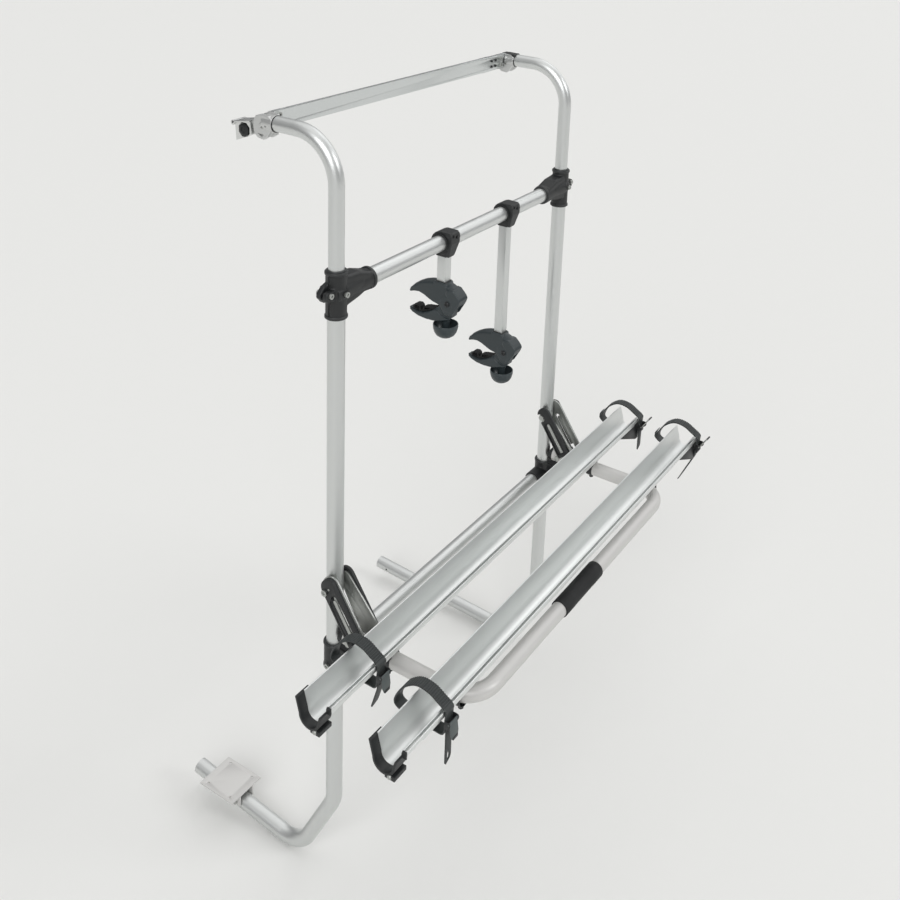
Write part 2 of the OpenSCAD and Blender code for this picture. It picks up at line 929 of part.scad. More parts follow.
// Moulded cap that carries the trough on past the rail's near end and holds it from below
module rail_end_cap()
{
    rotate([90, 0, 90])
        difference() {
            union() {
                translate([0, 0, -cap_out])
                    linear_extrude(cap_out + cap_band)
                        cap_area();
                translate([0, 0, -cap_wall])
                    linear_extrude(cap_wall - seat_gap)
                        cap_lip_area();
            }
            translate([0, 0, -cap_out - over])
                linear_extrude(2 * cap_out + cap_band)
                    trough(-rail_wall);
            linear_extrude(cap_band + over)
                trough(seat_gap);
        }
}

// The shell stops under the rail's lip at the front and goes up to the rim at the back
module cap_area()
{
    difference() {
        trough(cap_wall);
        translate([-2 * rail_w, rail_front_h - rail_lip_h - seat_gap])
            square(2 * rail_w);
        translate([-rail_w, rail_back_h])
            square(2 * rail_w);
    }
    translate([-rail_r - cap_wall, -cap_foot_h])
        square([rail_r, cap_foot_h + rail_wall]);
}

// Tab that closes the end of the lip's groove
module cap_lip_area()
{
    translate([-rail_w / 2 - rail_lip_w / 2, rail_front_h - rail_lip_h - cap_lip_down])
        square([rail_lip_w, rail_lip_h + cap_lip_down]);
}

module rail_end_caps()
{
    color(black) placed()
        for (index = [0, 1])
            translate([rail_x0, -rail_y - index * rail_pitch, rail_floor])
                rail_end_cap();
}

// Saddles carry the rails on the side tubes and hook round them from below
module rail_saddle()
{
    outer = tube_r + saddle_wall;
    difference() {
        translate([-outer, -saddle_l / 2, platform_z - outer])
            cube([2 * outer, saddle_l, outer + rail_floor + saddle_cradle_h - platform_z]);
        translate([0, 0, rail_floor])
            side_profile(0, 4 * outer)
                trough(seat_gap / 2);
    }
}

module rail_saddles()
{
    color(black) placed()
        difference() {
            for (index = [0, 1])
                for (side = [0, 1])
                    on_side(side)
                        translate([index * saddle_shift, -rail_y - index * rail_pitch, 0])
                            rail_saddle();
            platform_run(tube_d + seat_gap, 0);
        }
}

stay_pin_y = sin(stay_lean) * stay_pin_at + cos(stay_lean) * stay_offset;
stay_pin_z = stay_pivot_z - cos(stay_lean) * stay_pin_at + sin(stay_lean) * stay_offset;

module platform_bolts()
{
    reach = stay_inner + stay_plate_t + stay_cover_t + running_gap;
    color(zinc) placed()
        for (side = [0, 1])
            on_side(side)
                translate([-reach, -stay_pin_y, stay_pin_z])
                    rotate([0, 90, 0]) {
                        cylinder(r = stay_pin_r, h = reach + tube_r + seat_gap);
                        translate([0, 0, -stay_bolt_head_h])
                            cylinder(r = stay_washer_r, h = stay_bolt_head_h);
                    }
}

// Stay shape in its own frame: s down the stay, n to its front, drawn at rest
module stay_place()
{
    translate([0, 0, stay_pivot_z])
        rotate([-stay_lean, 0, 0])
            children();
}

module stay_end(down, r)
{
    translate([-stay_offset, -down])
        circle(r = r, $fn = 32);
}

module stay_outline(half_w, slot)
{
    difference() {
        hull() {
            stay_end(-stay_top_up, half_w);
            stay_end(stay_pin_at, half_w);
        }
        hull() {
            stay_end(stay_slot_start, slot);
            stay_end(stay_pin_at, slot);
        }
    }
}

module stay_plates()
{
    difference() {
        stay_place() {
            side_profile(-stay_inner - stay_plate_t / 2, stay_plate_t)
                stay_outline(stay_half_w, stay_slot_half);
            side_profile(stay_inner + stay_plate_t / 2, stay_plate_t)
                stay_inner_outline();
        }
        x_cylinder(-2 * tube_d, 0, stay_pivot_z, stay_bolt_r + pin_fit, 4 * tube_d);
    }
}

// The plate on the inner side is wider and has no slot
module stay_inner_outline()
{
    hull()
        for (p = scaled(stay_inner_shares, stay_pin_at, stay_pin_at))
            translate(p)
                circle(r = stay_inner_r, $fn = 32);
}

module stay_cover()
{
    difference() {
        stay_place()
            side_profile(-stay_inner - stay_plate_t - stay_cover_t / 2, stay_cover_t)
                stay_outline(stay_half_w - stay_cover_inset, stay_slot_half + stay_cover_slot);
        x_cylinder(-2 * tube_d, 0, stay_pivot_z, stay_bolt_r + pin_fit, 4 * tube_d);
    }
}

module left_stay_plates()
{
    color(silver) placed() on_side(0) stay_plates();
}

module right_stay_plates()
{
    color(silver) placed() on_side(1) stay_plates();
}

module left_stay_cover()
{
    color(black) placed() on_side(0) stay_cover();
}

module right_stay_cover()
{
    color(black) placed() on_side(1) stay_cover();
}

// Arms: each hangs from the middle crossbar and carries a claw at the given drop
module arm_bush(x)
{
    color(black) placed()
        translate([x - bush_l / 2, 0, middle_bar_z])
            rotate([0, 90, 0])
                linear_extrude(bush_l)
                    ring(tube_d + 2 * bush_wall, tube_d + 2 * running_gap);
}

module bar_clamp(x)
{
    outer = tube_r + bush_wall + running_gap + clamp_wall;
    color(black) placed()
        translate([x, 0, middle_bar_z])
            difference() {
                union() {
                    x_cylinder(-clamp_l / 2, 0, 0, outer, clamp_l);
                    translate([-clamp_l / 2, -outer - clamp_plate_in, -outer - clamp_foot_h])
                        cube([clamp_l, clamp_plate_t, outer + clamp_plate_up]);
                    translate([-clamp_l / 2, -outer, -outer - clamp_foot_h])
                        cube([clamp_l, 2 * outer - clamp_foot_in, outer]);
                }
                x_cylinder(-clamp_l, 0, 0, tube_r + bush_wall + running_gap, 2 * clamp_l);
                translate([-arm_w / 2, -arm_w / 2, -outer - clamp_foot_h - over])
                    cube([arm_w, arm_w, clamp_foot_h + over]);
            }
}

module arm_tube(x, drop)
{
    outer = tube_r + bush_wall + running_gap + clamp_wall;
    bottom = middle_bar_z - drop + claw_top - claw_insert;
    color(silver) placed()
        translate([x, 0, bottom])
            linear_extrude(drop - claw_top + claw_insert - outer)
                difference() {
                    square(arm_w, center = true);
                    square(arm_w - 2 * arm_wall, center = true);
                }
}

// Claw outlines as shares of the claw's length about the jaw's pivot, y towards the mouth
claw_body_shares = [
    [-0.3, -0.1], [-0.32, 0.02], [-0.28, 0.18], [-0.18, 0.32], [-0.04, 0.41], [0.14, 0.46],
    [0.38, 0.46], [0.58, 0.42], [0.78, 0.32], [0.94, 0.2], [1.03, 0.11], [1.01, 0.06],
    [0.9, 0.08], [0.76, 0.1], [0.62, 0.11], [0.48, 0.07], [0.34, 0], [0.22, -0.08],
    [0.1, -0.24], [-0.08, -0.3], [-0.22, -0.24]];
claw_slot_shares = [[-0.34, -0.6], [-0.34, -0.04], [0, 0], [0.2, -0.03], [0.34, -0.03],
                    [0.4, -0.6]];
jaw_shares = [
    [0, -0.2], [-0.14, -0.14], [-0.1, -0.32], [0.04, -0.46], [0.3, -0.5], [0.56, -0.52],
    [0.8, -0.48], [0.98, -0.41], [1.07, -0.35], [1.04, -0.31], [0.92, -0.35], [0.74, -0.39],
    [0.56, -0.41], [0.42, -0.37], [0.28, -0.26], [0.18, -0.08]];
pad_shares = [[0.42, -0.37], [0.56, -0.41], [0.74, -0.39], [0.92, -0.35], [0.88, -0.27],
              [0.78, -0.31], [0.66, -0.34], [0.54, -0.32]];
knob_shares = [[0, 0], [0.536, 0], [0.821, 0.176], [1, 0.53], [1, 1], [0.857, 1],
               [0.786, 0.588], [0.357, 0.294], [0, 0.294]];

module claw_place(x, drop)
{
    placed()
        translate([x, claw_pivot_y, middle_bar_z - drop])
            children();
}

module claw_body(x, drop)
{
    slot = claw_w - 2 * claw_cheek;
    color(claw_grey) claw_place(x, drop)
        difference() {
            side_profile(0, claw_w)
                polygon(scaled(claw_body_shares, claw_l, claw_l));
            side_profile(0, slot)
                union() {
                    circle(r = claw_hub_r + jaw_clear);
                    polygon(scaled(claw_slot_shares, claw_l, claw_l));
                }
            translate([-(arm_w + seat_gap) / 2, -claw_pivot_y - (arm_w + seat_gap) / 2,
                       claw_top - claw_insert])
                cube([arm_w + seat_gap, arm_w + seat_gap, 2 * claw_top]);
            x_cylinder(-claw_w, 0, 0, claw_pin_r + pin_fit, 2 * claw_w);
        }
}

module claw_jaw(x, drop)
{
    slot = claw_w - 2 * claw_cheek - 2 * jaw_clear;
    color(claw_grey) claw_place(x, drop)
        difference() {
            union() {
                side_profile(0, slot)
                    circle(r = claw_hub_r);
                side_profile(0, slot)
                    polygon(scaled(jaw_shares, claw_l, claw_l));
                translate([0, knob_y, knob_seat_z])
                    cylinder(r = knob_hub_r, h = knob_boss_h);
            }
            x_cylinder(-claw_w, 0, 0, claw_pin_r + pin_fit, 2 * claw_w);
            translate([0, knob_y, knob_seat_z - over])
                cylinder(r = knob_rod_r + pin_fit, h = knob_boss_h + over);
        }
}

module claw_pad(x, drop)
{
    slot = claw_w - 2 * claw_cheek - 2 * jaw_clear;
    color(black) claw_place(x, drop)
        side_profile(0, slot - 2 * pad_inset)
            polygon(scaled(pad_shares, claw_l, claw_l));
}

module claw_knob(x, drop)
{
    color(claw_grey) claw_place(x, drop)
        translate([0, knob_y, knob_seat_z - seat_gap - knob_neck - knob_h]) {
            rotate_extrude()
                polygon(scaled(knob_shares, knob_r, knob_h));
            cylinder(r = knob_hub_r, h = knob_h + knob_neck);
            cylinder(r = knob_rod_r,
                     h = knob_h + knob_neck + seat_gap + knob_boss_h - knob_rod_gap);
        }
}

// Wheel straps: each loops round its rail, closed by a buckle with a lever at the front
strap_arch_shares = [
    [-0.258, -0.044], [0.129, -0.044], [0.613, -0.019], [1.065, 0.074], [1.226, 0.259],
    [1.129, 0.63], [0.871, 1.056], [0.452, 1.37], [0, 1.352], [-0.355, 1.148], [-0.635, 0.944],
    [-0.645, 0.741], [-0.629, 0.407], [-0.613, 0.111], [-0.516, -0.037]];
strap_steps = 4;
buckle_cheek = 2.7;
buckle_y = -40;
buckle_out = 11;
buckle_z0 = 6;
buckle_up = 1;
strap_lap = 1;
buckle_h = 26;
lever_pin_y = -49.5;
lever_pin_z = 28;
lever_l = 34;
lever_t = 4;
lever_open = 34;
lever_shut = 172;
near_tail_1 = 58;
near_tail_2 = 72;
far_tail_1 = 50;
far_tail_2 = 95;
near_slant_1 = 17;
far_slant_2 = 45;

function smooth_at(a, b, c, d, t) =
    0.5 * (2 * b + (c - a) * t + (2 * a - 5 * b + 4 * c - d) * t * t
           + (3 * b - a - 3 * c + d) * t * t * t);

function smooth_loop(points, steps) =
    let (n = len(points))
        [for (i = [0 : n - 1])
            for (k = [0 : steps - 1])
                smooth_at(points[(i + n - 1) % n], points[i], points[(i + 1) % n],
                          points[(i + 2) % n], k / steps)];

function offset_loop(points, by) =
    let (n = len(points))
        [for (i = [0 : n - 1])
            let (d = points[(i + 1) % n] - points[(i + n - 1) % n])
                points[i] + by * [d[1], -d[0]] / norm(d)];

module strap_place(x, index)
{
    placed()
        translate([x, -rail_y - index * rail_pitch, rail_floor])
            children();
}

module strap(x, index, tail, slant)
{
    loop = smooth_loop(scaled(strap_arch_shares, rail_w, rail_back_h), strap_steps);
    color(strap_grey) strap_place(x, index) {
        side_profile(0, strap_w)
            difference() {
                polygon(offset_loop(loop, strap_t / 2));
                polygon(offset_loop(loop, -strap_t / 2));
            }
        side_profile(0, strap_w - 2 * buckle_cheek)
            polygon([[buckle_y + strap_t - strap_lap, buckle_z0], [buckle_y - strap_lap, buckle_z0],
                     [buckle_y - strap_lap + slant, -tail],
                     [buckle_y + strap_t - 2 * strap_lap + slant, -tail]]);
    }
}

module strap_buckle(x, index)
{
    half = strap_w / 2 + strap_gap;
    back = buckle_y - strap_t / 2 - strap_gap;
    color(black) strap_place(x, index)
        difference() {
            translate([-half - buckle_cheek, back - buckle_out, buckle_z0 + buckle_up])
                cube([2 * half + 2 * buckle_cheek, buckle_out + strap_t, buckle_h]);
            translate([-half, back, buckle_z0 - over])
                cube([2 * half, 2 * strap_t, buckle_h + 2 * over]);
            translate([-half, back - buckle_out - over, buckle_z0 - over])
                cube([2 * half, buckle_out + over - buckle_cheek, buckle_h + 2 * over]);
            x_cylinder(-strap_w, lever_pin_y, lever_pin_z, lever_t / 2 + pin_fit, 2 * strap_w);
        }
}

// Lever blade with its own round pin, turned about the pin from straight up
module strap_lever(x, index, turn)
{
    half = strap_w / 2 - strap_gap;
    color(zinc) strap_place(x, index) {
        x_cylinder(-strap_w / 2 - buckle_cheek, lever_pin_y, lever_pin_z, lever_t / 2,
                   strap_w + 2 * buckle_cheek);
        translate([0, lever_pin_y, lever_pin_z])
            rotate([turn, 0, 0])
                side_profile(0, 2 * half)
                    hull() {
                        circle(r = lever_t / 2, $fn = 16);
                        translate([0, lever_l])
                            circle(r = lever_t / 2, $fn = 16);
                    }
    }
}

module arm_1_bush() { arm_bush(arm_1_x); }
module arm_1_bar_clamp() { bar_clamp(arm_1_x); }
module arm_1_tube() { arm_tube(arm_1_x, arm_1_drop); }
module claw_1_body() { claw_body(arm_1_x, arm_1_drop); }
module claw_1_jaw() { claw_jaw(arm_1_x, arm_1_drop); }
module claw_1_pad() { claw_pad(arm_1_x, arm_1_drop); }
module claw_1_knob() { claw_knob(arm_1_x, arm_1_drop); }
module arm_2_bush() { arm_bush(arm_2_x); }
module arm_2_bar_clamp() { bar_clamp(arm_2_x); }
module arm_2_tube() { arm_tube(arm_2_x, arm_2_drop); }
module claw_2_body() { claw_body(arm_2_x, arm_2_drop); }
module claw_2_jaw() { claw_jaw(arm_2_x, arm_2_drop); }
module claw_2_pad() { claw_pad(arm_2_x, arm_2_drop); }
module claw_2_knob() { claw_knob(arm_2_x, arm_2_drop); }
module near_strap_1() { strap(near_strap_1_x, 0, near_tail_1, near_slant_1); }
module near_strap_1_buckle() { strap_buckle(near_strap_1_x, 0); }
module near_strap_1_lever() { strap_lever(near_strap_1_x, 0, lever_shut); }
module near_strap_2() { strap(near_strap_2_x, 1, near_tail_2, 0); }
module near_strap_2_buckle() { strap_buckle(near_strap_2_x, 1); }
module near_strap_2_lever() { strap_lever(near_strap_2_x, 1, lever_shut); }
module far_strap_1() { strap(far_strap_x, 0, far_tail_1, 0); }
module far_strap_1_buckle() { strap_buckle(far_strap_x, 0); }
module far_strap_1_lever() { strap_lever(far_strap_x, 0, lever_open); }
module far_strap_2() { strap(far_strap_x, 1, far_tail_2, far_slant_2); }
module far_strap_2_buckle() { strap_buckle(far_strap_x, 1); }
module far_strap_2_lever() { strap_lever(far_strap_x, 1, lever_open); }

left_upright();
right_upright();
middle_crossbar();
lower_crossbar();
left_tee_clamp();
right_tee_clamp();
left_lower_clamp();
right_lower_clamp();
frame_bolts();
foot_bracket();
left_top_tube();
right_top_tube();
left_knuckle();
right_knuckle();
top_strip();
top_bolts();
left_hook();
right_hook();
left_hook_knob();
right_hook_knob();
platform_tube();
grip_sleeve();
tube_end_plugs();
hinge_pins();
rail_1();
rail_2();
rail_end_caps();
rail_saddles();
platform_bolts();
left_stay_plates();
left_stay_cover();
right_stay_plates();
right_stay_cover();
arm_1_bush();
arm_1_bar_clamp();
arm_1_tube();
claw_1_body();
claw_1_jaw();
claw_1_pad();
claw_1_knob();
arm_2_bush();
arm_2_bar_clamp();
arm_2_tube();
claw_2_body();
claw_2_jaw();
claw_2_pad();
claw_2_knob();
near_strap_1();
near_strap_1_buckle();
near_strap_1_lever();
near_strap_2();
near_strap_2_buckle();
near_strap_2_lever();
far_strap_1();
far_strap_1_buckle();
far_strap_1_lever();
far_strap_2();
far_strap_2_buckle();
far_strap_2_lever();
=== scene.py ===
"""Motorhome bike rack: the looks of the rack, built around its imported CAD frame.

Pieces are modelled in millimetres, with x = 0 on the left upright, y = 0 in the uprights'
plane and z = 0 level with the legs' corners, and are then put into the row frame in metres.
"""

import json
import math

import bpy
from mathutils import Matrix, Vector

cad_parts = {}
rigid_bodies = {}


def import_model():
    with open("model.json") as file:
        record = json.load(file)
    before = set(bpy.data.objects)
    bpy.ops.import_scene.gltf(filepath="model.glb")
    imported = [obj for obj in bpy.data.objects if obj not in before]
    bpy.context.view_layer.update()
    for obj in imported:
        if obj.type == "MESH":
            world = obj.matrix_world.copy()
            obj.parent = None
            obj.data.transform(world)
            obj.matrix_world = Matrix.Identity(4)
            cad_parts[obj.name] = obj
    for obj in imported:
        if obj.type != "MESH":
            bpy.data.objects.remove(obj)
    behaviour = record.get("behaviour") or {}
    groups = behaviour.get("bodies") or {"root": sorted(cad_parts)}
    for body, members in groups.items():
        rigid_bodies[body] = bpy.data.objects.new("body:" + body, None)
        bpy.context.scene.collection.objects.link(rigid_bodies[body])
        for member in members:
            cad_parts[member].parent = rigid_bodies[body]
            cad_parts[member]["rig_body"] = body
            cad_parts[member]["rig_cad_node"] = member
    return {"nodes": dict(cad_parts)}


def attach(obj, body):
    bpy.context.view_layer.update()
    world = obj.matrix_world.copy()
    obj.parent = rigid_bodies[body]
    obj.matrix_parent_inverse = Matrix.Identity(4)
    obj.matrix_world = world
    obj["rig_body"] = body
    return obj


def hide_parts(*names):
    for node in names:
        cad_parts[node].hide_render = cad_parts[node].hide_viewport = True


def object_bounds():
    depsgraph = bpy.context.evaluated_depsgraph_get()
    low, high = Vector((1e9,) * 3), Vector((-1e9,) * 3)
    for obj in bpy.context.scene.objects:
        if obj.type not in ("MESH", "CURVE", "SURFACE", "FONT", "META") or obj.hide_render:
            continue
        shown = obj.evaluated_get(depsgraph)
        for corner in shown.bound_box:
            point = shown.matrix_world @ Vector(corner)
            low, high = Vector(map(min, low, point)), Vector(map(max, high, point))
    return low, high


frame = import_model()
CAD_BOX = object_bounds()

bl_info = {
    "name": "Motorhome bike rack",
    "version": (1, 0, 0),
    "blender": (4, 5, 0),
    "location": "3D View > Sidebar > Rack",
    "description": "Builds the pieces and finishes of a motorhome bike rack",
    "category": "Object",
}

# Places in the modelling frame, in mm and degrees
MM = 0.001
ORIGIN = Vector((0, 320, 56.8653))  # where the row frame's origin lies
TO_ROW = Matrix.Scale(MM, 4) @ Matrix.Translation(-ORIGIN)
GAP = 850  # between the uprights' axes
BAR_Z = 1383  # axis of the middle crossbar
LOWER_BAR_Z = 567  # axis of the lower crossbar
TOP_Z = 1686  # axis of the top tubes' ends
HOOK_PIN = (171, TOP_Z - 9)  # (y, z) of the pin on which a wall hook tilts
HOOK_KNOB = (219, 1664)  # (y, z) of the axis of a hook's knob
RAIL_Z = 649  # underside of the rails
RAIL_Y = 147.5  # first rail's middle, in front of the uprights
RAIL_PITCH = 171.6
RAIL_X0 = -219.5  # near ends of the rails
PLATFORM_Z = 630  # axis of the platform tube
STAY_Z = 738  # pivots of the stays
STAY_LEAN = 35  # degrees from upright
BORE = 17.7  # radius of a casting's bore over a tube
CLAW_Y = -22  # pivot of a claw

# Arm: number, place along the crossbar, claw's pivot below the crossbar's axis
ARMS = (("1", 351, 137), ("2", 595, 350))
# Strap: name, place along the rail, rail, tail's length, tail's slant, lever's turn, tail slotted
STRAPS = (
    ("near_strap_1", -82.1, 0, 58, 17, 172, False),
    ("near_strap_2", -100.1, 1, 72, 0, 172, True),
    ("far_strap_1", 1054.1, 0, 50, 0, 34, False),
    ("far_strap_2", 1054.1, 1, 95, 45, 34, False),
)


# Sizes and colours that a user would change

class RackSizes(bpy.types.PropertyGroup):
    edge_round: bpy.props.FloatProperty(
        name="Edge rounding", description="Radius on the edges of pressed and cut parts",
        default=0.0006, subtype="DISTANCE", unit="LENGTH")
    cast_grain: bpy.props.FloatProperty(
        name="Casting detail", description="Voxel size at which cast parts are fused, in mm",
        default=1.3)
    strap_rib_pitch: bpy.props.FloatProperty(
        name="Strap rib pitch", description="Distance between the ribs of a wheel strap, in mm",
        default=4.8)
    strap_width: bpy.props.FloatProperty(
        name="Strap width", description="Width of the wheel straps, in mm", default=25.0)


class RackColours(bpy.types.PropertyGroup):
    tube: bpy.props.StringProperty(
        name="Tubes", description="Satin anodised aluminium, sRGB hex", default="#d6d8d7")
    rail: bpy.props.StringProperty(
        name="Rails", description="Bright anodised extrusions, sRGB hex", default="#e3e5e4")
    coat: bpy.props.StringProperty(
        name="Platform", description="Pale grey powder coat, sRGB hex", default="#cac9c7")
    black: bpy.props.StringProperty(
        name="Fittings", description="Black moulded nylon, sRGB hex", default="#1b1d1e")
    claw: bpy.props.StringProperty(
        name="Claws", description="Dark blue-grey moulded plastic, sRGB hex", default="#2c3437")
    strap: bpy.props.StringProperty(
        name="Straps", description="Ribbed flexible plastic, sRGB hex", default="#252929")
    grip: bpy.props.StringProperty(
        name="Sleeve", description="Soft rubber sleeve, sRGB hex", default="#141516")
    zinc: bpy.props.StringProperty(
        name="Castings", description="Matt zinc die casting, sRGB hex", default="#cbcccb")
    floor: bpy.props.StringProperty(
        name="Floor", description="Pale studio floor, sRGB hex", default="#e4e4e2")


def sizes():
    return bpy.context.scene.rack_sizes


def colours():
    return bpy.context.scene.rack_colours


def linear(text):
    """sRGB hex to a linear colour."""
    parts = [int(text[i:i + 2], 16) / 255 for i in (1, 3, 5)]
    return [c / 12.92 if c <= 0.04045 else ((c + 0.055) / 1.055) ** 2.4 for c in parts] + [1]


# Modelling helpers

def clear():
    """Object mode, with nothing selected."""
    if bpy.context.object and bpy.context.object.mode != "OBJECT":
        bpy.ops.object.mode_set(mode="OBJECT")
    bpy.ops.object.select_all(action="DESELECT")


def pick(piece):
    """Makes one object the selected and active one."""
    clear()
    piece.select_set(True)
    bpy.context.view_layer.objects.active = piece
    return piece


def edit(piece):
    """Edit mode, with the whole mesh selected."""
    pick(piece)
    bpy.ops.object.mode_set(mode="EDIT")
    bpy.ops.mesh.select_all(action="SELECT")


def leave():
    bpy.ops.object.mode_set(mode="OBJECT")


def modify(piece, kind, **settings):
    """Adds a modifier and applies it."""
    pick(piece)
    modifier = piece.modifiers.new(kind.title(), kind)
    for key, value in settings.items():
        setattr(modifier, key, value)
    bpy.ops.object.modifier_apply(modifier=modifier.name)
    return piece


def bake(piece):
    """Puts the object's place into its mesh."""
    pick(piece)
    bpy.ops.object.transform_apply(location=True, rotation=True, scale=True)
    return piece


def join(pieces):
    clear()
    for p in pieces:
        p.select_set(True)
    bpy.context.view_layer.objects.active = pieces[0]
    if len(pieces) > 1:
        bpy.ops.object.join()
    return pieces[0]


def rod(centre, radius, length, axis="X", sides=48, end_radius=None):
    """A round bar or cone centred on a point."""
    turn = {"X": (0, math.pi / 2, 0), "Y": (-math.pi / 2, 0, 0), "Z": (0, 0, 0)}[axis]
    clear()
    bpy.ops.mesh.primitive_cone_add(
        vertices=sides, radius1=radius, radius2=radius if end_radius is None else end_radius,
        depth=length, location=centre, rotation=turn)
    return bake(bpy.context.object)


def block(low, high):
    """A box between two corners."""
    clear()
    bpy.ops.mesh.primitive_cube_add(size=1, location=[(a + b) / 2 for a, b in zip(low, high)])
    piece = bpy.context.object
    piece.scale = [b - a for a, b in zip(low, high)]
    return bake(piece)


def plate(points, low, high, axis="X"):
    """A plate cut to an outline and extruded from low to high along an axis."""
    clear()
    bpy.ops.mesh.primitive_circle_add(vertices=len(points), fill_type="NGON")
    piece = bpy.context.object
    place = {"X": lambda p: (low, p[0], p[1]), "Y": lambda p: (p[0], low, p[1]),
             "Z": lambda p: (p[0], p[1], low)}[axis]
    for vertex, point in zip(piece.data.vertices, points):
        vertex.co = place(point)
    edit(piece)
    step = {"X": (high - low, 0, 0), "Y": (0, high - low, 0), "Z": (0, 0, high - low)}[axis]
    bpy.ops.mesh.extrude_region_move(TRANSFORM_OT_translate={"value": step})
    bpy.ops.mesh.select_all(action="SELECT")
    bpy.ops.mesh.normals_make_consistent(inside=False)
    leave()
    return piece


def slab(points, half, axis="X"):
    """A plate that lies evenly on both sides of the middle."""
    return plate(points, -half, half, axis)


def band(outer, inner, low, high):
    """A closed band between two loops of as many (y, z) points, extruded along X."""
    loops = []
    for points in (outer, inner):
        clear()
        bpy.ops.mesh.primitive_circle_add(vertices=len(points))
        loop = bpy.context.object
        for vertex, point in zip(loop.data.vertices, points):
            vertex.co = (low, point[0], point[1])
        loops.append(loop)
    piece = join(loops)
    edit(piece)
    bpy.ops.mesh.bridge_edge_loops()
    bpy.ops.mesh.select_all(action="SELECT")
    bpy.ops.mesh.extrude_region_move(TRANSFORM_OT_translate={"value": (high - low, 0, 0)})
    bpy.ops.mesh.select_all(action="SELECT")
    bpy.ops.mesh.normals_make_consistent(inside=False)
    leave()
    return piece


def lathe(profile, centre, axis="Z", steps=64):
    """A turned part: (radius, height) points spun about an axis through centre."""
    clear()
    bpy.ops.mesh.primitive_circle_add(vertices=len(profile))
    piece = bpy.context.object
    for vertex, (r, h) in zip(piece.data.vertices, profile):
        vertex.co = (r, 0, h)
    edit(piece)
    bpy.ops.mesh.spin(steps=steps, angle=2 * math.pi, center=(0, 0, 0), axis=(0, 0, 1))
    bpy.ops.mesh.select_all(action="SELECT")
    bpy.ops.mesh.remove_doubles(threshold=0.01)
    bpy.ops.mesh.normals_make_consistent(inside=False)
    leave()
    piece.rotation_euler = {"X": (0, math.pi / 2, 0), "Y": (-math.pi / 2, 0, 0),
                            "Z": (0, 0, 0)}[axis]
    piece.location = centre
    return bake(piece)


def boolean(piece, others, operation):
    for other in others:
        modify(piece, "BOOLEAN", object=other, operation=operation, solver="EXACT")
        bpy.data.objects.remove(other)
    return piece


def cut(piece, *cutters):
    return boolean(piece, cutters, "DIFFERENCE")


def cast(pieces, rounds=5, grain=None):
    """Fuses rough shapes as a casting: one skin with rounded edges and filleted corners."""
    piece = join(pieces)
    modify(piece, "REMESH", mode="VOXEL", voxel_size=grain or sizes().cast_grain)
    return modify(piece, "SMOOTH", factor=0.6, iterations=rounds)


def taper(piece, rule):
    """Moves every vertex by a rule of its place."""
    for vertex in piece.data.vertices:
        vertex.co = rule(vertex.co)
    return piece


def bevel(piece, width, segments=2, angle=40):
    return modify(piece, "BEVEL", width=width, segments=segments, limit_method="ANGLE",
                  angle_limit=math.radians(angle), use_clamp_overlap=True)


def copied(piece, move):
    """A copy with its own mesh, moved by a matrix."""
    other = piece.copy()
    other.data = piece.data.copy()
    bpy.context.scene.collection.objects.link(other)
    other.data.transform(move)
    return other


def shifted(piece, step):
    return copied(piece, Matrix.Translation(step))


def mirrored(piece):
    """A copy on the other side of the rack's middle plane."""
    other = copied(piece, Matrix.Translation((GAP, 0, 0)) @ Matrix.Scale(-1, 4, (1, 0, 0)))
    edit(other)
    bpy.ops.mesh.flip_normals()
    leave()
    return other


def turned(piece):
    """The mirrored copy alone: the piece that it came from is removed."""
    other = mirrored(piece)
    bpy.data.objects.remove(piece)
    return other


def settle(piece, name, body, material, nodes=()):
    """Puts a finished piece into the row frame, gives it its finish and its body."""
    piece.name = name
    piece.data.name = name
    piece.data.transform(TO_ROW)
    dress(piece, material)
    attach(piece, body)
    if nodes:
        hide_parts(*nodes)
    return piece


def dress(piece, material, angle=35):
    """One finish all over, smooth up to an angle in degrees."""
    piece.data.materials.clear()
    piece.data.materials.append(material)
    pick(piece)
    bpy.ops.object.shade_smooth_by_angle(angle=math.radians(angle))


def soften(node, name, material, width=None, segments=2):
    """A copy of a CAD part with its edges rounded as the real part's are."""
    source = frame["nodes"][node]
    piece = source.copy()
    piece.data = source.data.copy()
    piece.parent = None
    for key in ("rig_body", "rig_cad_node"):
        del piece[key]
    bpy.context.scene.collection.objects.link(piece)
    piece.hide_render = piece.hide_viewport = False
    edit(piece)
    bpy.ops.mesh.remove_doubles(threshold=2e-6)
    bpy.ops.mesh.dissolve_limited(angle_limit=math.radians(0.8))
    leave()
    bevel(piece, width or sizes().edge_round, segments)
    piece.name = name
    piece.data.name = name
    dress(piece, material)
    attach(piece, source["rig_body"])
    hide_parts(node)
    return piece


def finish_node(node, material):
    """Gives a CAD part that is shown as it is its finish."""
    part = frame["nodes"][node]
    part.data.materials.clear()
    part.data.materials.append(material)


# Materials

def add(tree, kind, inputs=None, **settings):
    """A node with its settings and its inputs, linked or set."""
    node = tree.nodes.new(kind)
    for key, value in settings.items():
        setattr(node, key, value)
    for key, value in (inputs or {}).items():
        if isinstance(value, bpy.types.NodeSocket):
            tree.links.new(value, node.inputs[key])
        else:
            node.inputs[key].default_value = value
    return node


